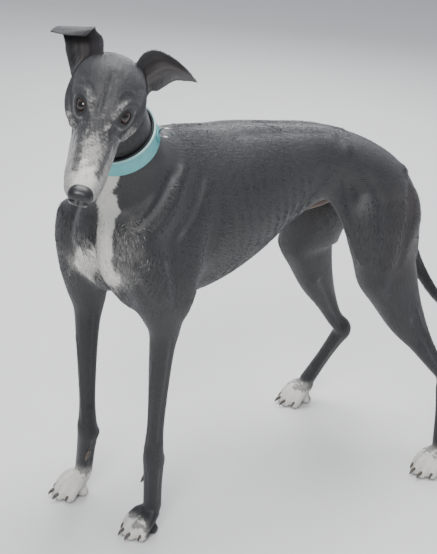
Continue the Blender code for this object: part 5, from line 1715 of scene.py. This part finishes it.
def eyeball(name, side):
    """An eye whose pole looks out of the lids, with a pupil, a streaked iris and a raised cornea."""
    centre = eye_centre(side)
    _, _, upward, outward = eye_axes(side)
    gaze = outward * GAZE[0] + HEAD_RIGHT * GAZE[1] + HEAD_MUZZLE * GAZE[2] + HEAD_CROWN * GAZE[3]
    gaze.normalize()
    first = gaze.cross(upward).normalized()
    second = gaze.cross(first)
    points, colours, faces = [], [], []
    streaks = np.random.default_rng(EYE_SEED).random(EYE_SPOKES)
    for ring in range(EYE_CIRCLES + 1):
        angle = math.pi * (ring / EYE_CIRCLES) ** 1.6
        raised = CORNEA_RISE * max(math.cos(min(angle / CORNEA_ANGLE, 1) * math.pi / 2), 0)
        for k in range(EYE_SPOKES):
            turn = 2 * math.pi * k / EYE_SPOKES
            around = first * math.cos(turn) + second * math.sin(turn)
            spoke = gaze * math.cos(angle) + around * math.sin(angle)
            points.append(tuple(centre + spoke * (EYE_RADIUS + raised)))
            colours.append(eye_colour(angle, streaks[k]))
    for ring in range(EYE_CIRCLES):
        for k in range(EYE_SPOKES):
            a, b = ring * EYE_SPOKES + k, ring * EYE_SPOKES + (k + 1) % EYE_SPOKES
            faces.append((a, a + EYE_SPOKES, b + EYE_SPOKES))
            faces.append((a, b + EYE_SPOKES, b))
    made = solid_mesh(name, np.array(points), np.array(faces), np.array(colours))
    body = bmesh.new()
    body.from_mesh(made.data)
    bmesh.ops.remove_doubles(body, verts=body.verts, dist=1e-6)
    bmesh.ops.recalc_face_normals(body, faces=body.faces)
    body.to_mesh(made.data)
    body.free()
    made.data.shade_smooth()
    made.data.materials.append(eye_material(name))
    return made


def eye_material(name):
    made, shader = new_material(name, 0.08)
    feed(made, shader.inputs["Base Color"], shaded_tint(made, noise(made, 1400.0, 2.0), 0.5, 0.75))
    shader.inputs["Specular IOR Level"].default_value = 0.35
    shader.inputs["Coat Weight"].default_value = 0.6
    shader.inputs["Coat Roughness"].default_value = 0.02
    return made


def eye_colour(angle, streak):
    """The colour at an angle from the middle of the eye."""
    edges = (PUPIL_ANGLE, PUPIL_ANGLE + 0.05, IRIS_ANGLE - 0.12, IRIS_ANGLE, IRIS_ANGLE + 0.06)
    inner = np.array(IRIS_INNER) * (0.7 + 0.6 * streak)
    colours = np.array((PUPIL, inner, IRIS_OUTER, IRIS_RIM, EYE_WHITE))
    return [float(np.interp(angle, edges, colours[:, k])) for k in range(3)]


def nose():
    made = remeshed("nose_leather", [loft(head_rings(NOSE_RINGS, 2))], NOSE_VOXEL)
    smooth_skin(made.data, NOSE_VOXEL, np.full(len(made.data.vertices), NOSE_SOFT))
    sculpt(made.data, head_strokes(NOSE_STROKES))
    made.data.shade_smooth()
    material, shader = new_material("nose", 0.38)
    cells = node(material, "ShaderNodeTexVoronoi", feature="DISTANCE_TO_EDGE", Scale=820.0)
    feed(material, cells.inputs["Vector"], node(material, "ShaderNodeTexCoord").outputs["Object"])
    bumpy(material, shader, cells.outputs["Distance"], 0.0004, 0.6)
    two_tone(material, shader, noise(material, 260.0, 3.0), (0.004, 0.004, 0.005), (0.022, 0.021, 0.024))
    shader.inputs["Coat Weight"].default_value = 0.25
    shader.inputs["Coat Roughness"].default_value = 0.25
    made.data.materials.append(material)
    return made


def dewclaw(name):
    """The small claw on the inner side of the pastern."""
    root, tip = dewclaw_places(name)
    rows = [(*root.lerp(tip, share), radius, radius, radius) for share, radius in DEWCLAW_TAPER]
    return tube(smooth_rows(rows, 3), [heading_side(name)] * 10, 14)


def claws():
    """All the claws in one piece, with the nodes that it stands for."""
    bodies, nodes = [], []
    for name in LEGS:
        for number, toe in enumerate(TOES, 1):
            rows = toe_rows(name, toe, CLAW_PATH, 4)
            bodies.append(tube(rows, [heading_side(name)] * len(rows), 14))
            nodes.append(f"claw_{name}_{number}")
        if name.startswith("fore"):
            bodies.append(dewclaw(name))
            nodes.append(f"dewclaw_{name}")
    made = joined("claws", bodies)
    made.data.shade_smooth()
    material, shader = new_material("claw_horn", 0.35)
    grain = noise(material, 300.0, 4.0)
    two_tone(material, shader, grain, (0.020, 0.017, 0.015), (0.13, 0.11, 0.09))
    bumpy(material, shader, grain, 0.0002, 0.4)
    made.data.materials.append(material)
    return made, nodes


def band(name, profile, start=0.0, end=2 * math.pi, steps_round=BAND_STEPS):
    """A strip round the neck with this profile of radius and height, or a part of the way round."""
    closed = end - start == 2 * math.pi
    turns = [start + (end - start) * k / steps_round for k in range(steps_round + (not closed))]
    rings = [[collar_point(turn, radius, height) for radius, height in profile] for turn in turns]
    return linked(name, loft(rings, closed))


def linked(name, body):
    made = mesh_object(name, body)
    made.data.shade_smooth()
    return made


def rounded_profile(inside, outside, low, high, soft):
    """A flat strip's section with round edges, as radius and height."""
    points = []
    corners = ((outside - soft, low + soft, -90), (outside - soft, high - soft, 0),
               (inside + soft, high - soft, 90), (inside + soft, low + soft, 180))
    for radius, height, start in corners:
        for k in range(5):
            turn = math.radians(start + 22.5 * k)
            points.append((radius + soft * math.cos(turn), height + soft * math.sin(turn)))
    return points


def stitches():
    """Two rows of thread round the collar, in one piece."""
    points, triangles = [], []
    turn_step = STITCH_STEP / BAND_OUTSIDE
    reach = BAND_OUTSIDE + 0.0001
    half = turn_step * 0.36
    for height in (STITCH_EDGE, COLLAR_WIDTH - STITCH_EDGE):
        for k in range(int(2 * math.pi / turn_step)):
            turn = k * turn_step
            start = collar_point(turn - half, reach, height)
            stop = collar_point(turn + half, reach, height)
            low = collar_point(turn, reach, height - STITCH_WIDTH / 2)
            high = collar_point(turn, reach, height + STITCH_WIDTH / 2)
            top = collar_point(turn, reach + STITCH_WIDTH * 0.6, height)
            base = len(points)
            points += [tuple(start), tuple(low), tuple(high), tuple(top), tuple(stop)]
            triangles += [[base + i for i in face] for face in SPINDLE_FACES]
    made = solid_mesh("collar_stitches", np.array(points), np.array(triangles))
    made.data.shade_smooth()
    made.data.materials.append(cloth_material("thread", *THREAD, 1500.0, 0.7))
    return made


def cloth_material(name, light, dark, scale, roughness):
    """A colour that varies over a fine grain, with bump."""
    made, shader = new_material(name, roughness)
    grain, broad = noise(made, scale, 5.0, Roughness=0.65), noise(made, scale / 14, 2.0)
    halves = [math_node(made, "MULTIPLY", part, 0.5) for part in (grain, broad)]
    two_tone(made, shader, math_node(made, "ADD", *halves), dark, light)
    bumpy(made, shader, grain, 0.0003, 0.7)
    return made


def metal_ring():
    right, front, axis = collar_axes()
    outward = right * math.cos(TAB_TURN) + front * math.sin(TAB_TURN)
    reach = BAND_OUTSIDE + TAB_THICKNESS + RING_RADIUS * RING_OVERLAP
    middle = collar_point(TAB_TURN, reach, COLLAR_WIDTH / 2)
    side = outward.cross(axis)
    rings = []
    for k in range(RING_STEPS):
        turn = 2 * math.pi * k / RING_STEPS
        spoke = outward * math.cos(turn) + axis * math.sin(turn)
        ring = []
        for j in range(WIRE_STEPS):
            bent = 2 * math.pi * j / WIRE_STEPS
            away = spoke * (RING_RADIUS + RING_WIRE * math.cos(bent))
            ring.append(middle + away + side * RING_WIRE * math.sin(bent))
        rings.append(ring)
    made = linked("ring_steel", loft(rings, True))
    material, shader = new_material("ring_steel", 0.28, 1.0)
    two_tone(material, shader, noise(material, 500.0, 4.0), (0.22, 0.22, 0.23), (0.50, 0.50, 0.51))
    made.data.materials.append(material)
    return made


def cloth_band(name, section, material, *way_round):
    """A strip of the collar with its material: name, colours, grain and roughness."""
    made = band(name, rounded_profile(*section), *way_round)
    made.data.materials.append(cloth_material(material[0], *material[1], *material[2:]))
    return made


def collar_pieces():
    """Each piece of the collar with the node it stands for and its slot."""
    strap = (BAND_INSIDE, BAND_OUTSIDE, 0, COLLAR_WIDTH, 0.0009)
    rim = COLLAR_WIDTH - 0.0012, COLLAR_WIDTH + 0.0008
    edge = (BAND_INSIDE + 0.0004, BAND_OUTSIDE + 0.0005, *rim, 0.0004)
    lining = (LINING_INSIDE, BAND_INSIDE - 0.0002, -LINING_EDGE, COLLAR_WIDTH + LINING_EDGE, 0.0011)
    half = TAB_SIZE[0] / 2 / BAND_OUTSIDE
    low = (COLLAR_WIDTH - TAB_SIZE[1]) / 2
    tab = (BAND_OUTSIDE + 0.0003, BAND_OUTSIDE + TAB_THICKNESS, low, low + TAB_SIZE[1], 0.0006)
    part_round = (TAB_TURN - half, TAB_TURN + half, TAB_STEPS)
    teal, padding = "collar_teal", "collar_padding"
    yield cloth_band("strap", strap, ("teal_leather", TEAL, 700.0, 0.46)), "collar_band", teal
    # A pale strip along the strap's top edge
    yield cloth_band("strap_edge", edge, ("edge_paint", PALE_TOP_EDGE, 600.0, 0.5)), None, teal
    yield cloth_band("padding", lining, ("padding", PADDING, 1300.0, 0.8)), "collar_lining", padding
    yield cloth_band("tab", tab, ("tab_leather", TAB_TEAL, 700.0, 0.46), *part_round), "collar_tab", teal
    yield metal_ring(), "collar_ring", "collar_metal"
    yield stitches(), None, teal


def place_piece(made, slot, nodes=()):
    """Moves a finished piece to the model's frame and ties it to the body."""
    move_points(made.data, points_of(made.data) - np.array(ORIGIN))
    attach(made, "root")
    if nodes:
        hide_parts(*nodes)


def soft_light(name, place, target, size, power):
    lamp = bpy.data.lights.new(name, "AREA")
    lamp.shape = "DISK"
    lamp.size = size
    lamp.energy = power
    made = placed(name, lamp)
    made.location = place
    made.rotation_euler = (Vector(target) - Vector(place)).to_track_quat("-Z", "Y").to_euler()


def studio():
    """A pale floor and soft light."""
    body = bmesh.new()
    bmesh.ops.create_grid(body, x_segments=1, y_segments=1, size=FLOOR_HALF)
    floor = linked("floor", body)
    floor.location.z = -0.0005
    material, shader = new_material("floor", 0.85)
    two_tone(material, shader, noise(material, 3.0, 3.0), (0.72, 0.72, 0.71), (0.76, 0.76, 0.75))
    floor.data.materials.append(material)
    world = bpy.data.worlds.new("studio")
    world.use_nodes = True
    sky = world.node_tree.nodes["Background"]
    sky.inputs["Color"].default_value = (0.86, 0.90, 1.0, 1)
    sky.inputs["Strength"].default_value = WORLD_LIGHT
    bpy.context.scene.world = world
    for lamp in LAMPS:
        soft_light(*lamp)


def camera():
    """The photograph's camera: its place, its turn and its reach."""
    flat = math.cos(CAMERA_PITCH)
    ahead = Vector((math.sin(CAMERA_YAW) * flat, math.cos(CAMERA_YAW) * flat, -math.sin(CAMERA_PITCH)))
    level = Vector((math.cos(CAMERA_YAW), -math.sin(CAMERA_YAW), 0))
    upright = level.cross(ahead)
    right = level * math.cos(CAMERA_ROLL) + upright * math.sin(CAMERA_ROLL)
    up = upright * math.cos(CAMERA_ROLL) - level * math.sin(CAMERA_ROLL)
    turn = Matrix((right, up, -ahead)).transposed().to_4x4()
    made = placed("camera", bpy.data.cameras.new("camera"))
    made.matrix_world = Matrix.Translation(CAMERA_PLACE - ORIGIN) @ turn
    made.data.sensor_width = SENSOR
    made.data.lens = CAMERA_REACH / PICTURE_HEIGHT * SENSOR
    made.data.clip_start = 0.05
    bpy.context.scene.camera = made


def flesh_nodes():
    names = ["head", "neck", "trunk", "tail_root", "tail_tip", *EARS]
    for name in LEGS:
        names += [f"{name}_{part}" for part in ("upper", "lower", "pastern", "paw")]
    return names


def main():
    camera()
    studio()
    skin = painted_skin()
    middles, facing = face_middles(skin.data)
    _, _, bare = markings(middles, facing)
    for piece in coat(skin.data, middles, bare) + locks(skin.data, middles, bare):
        place_piece(piece, "coat_slate")
    place_piece(skin, "coat_slate", flesh_nodes())
    for side, name in ((1, "eye_right"), (-1, "eye_left")):
        place_piece(eyeball(f"eyeball_{name[4:]}", side), "eye_amber", [name])
    place_piece(nose(), "nose_leather", ["nose"])
    claw_piece, claw_nodes = claws()
    place_piece(claw_piece, "claw_horn", claw_nodes)
    for piece, stands_for, slot in collar_pieces():
        place_piece(piece, slot, [stands_for] if stands_for else [])


main()
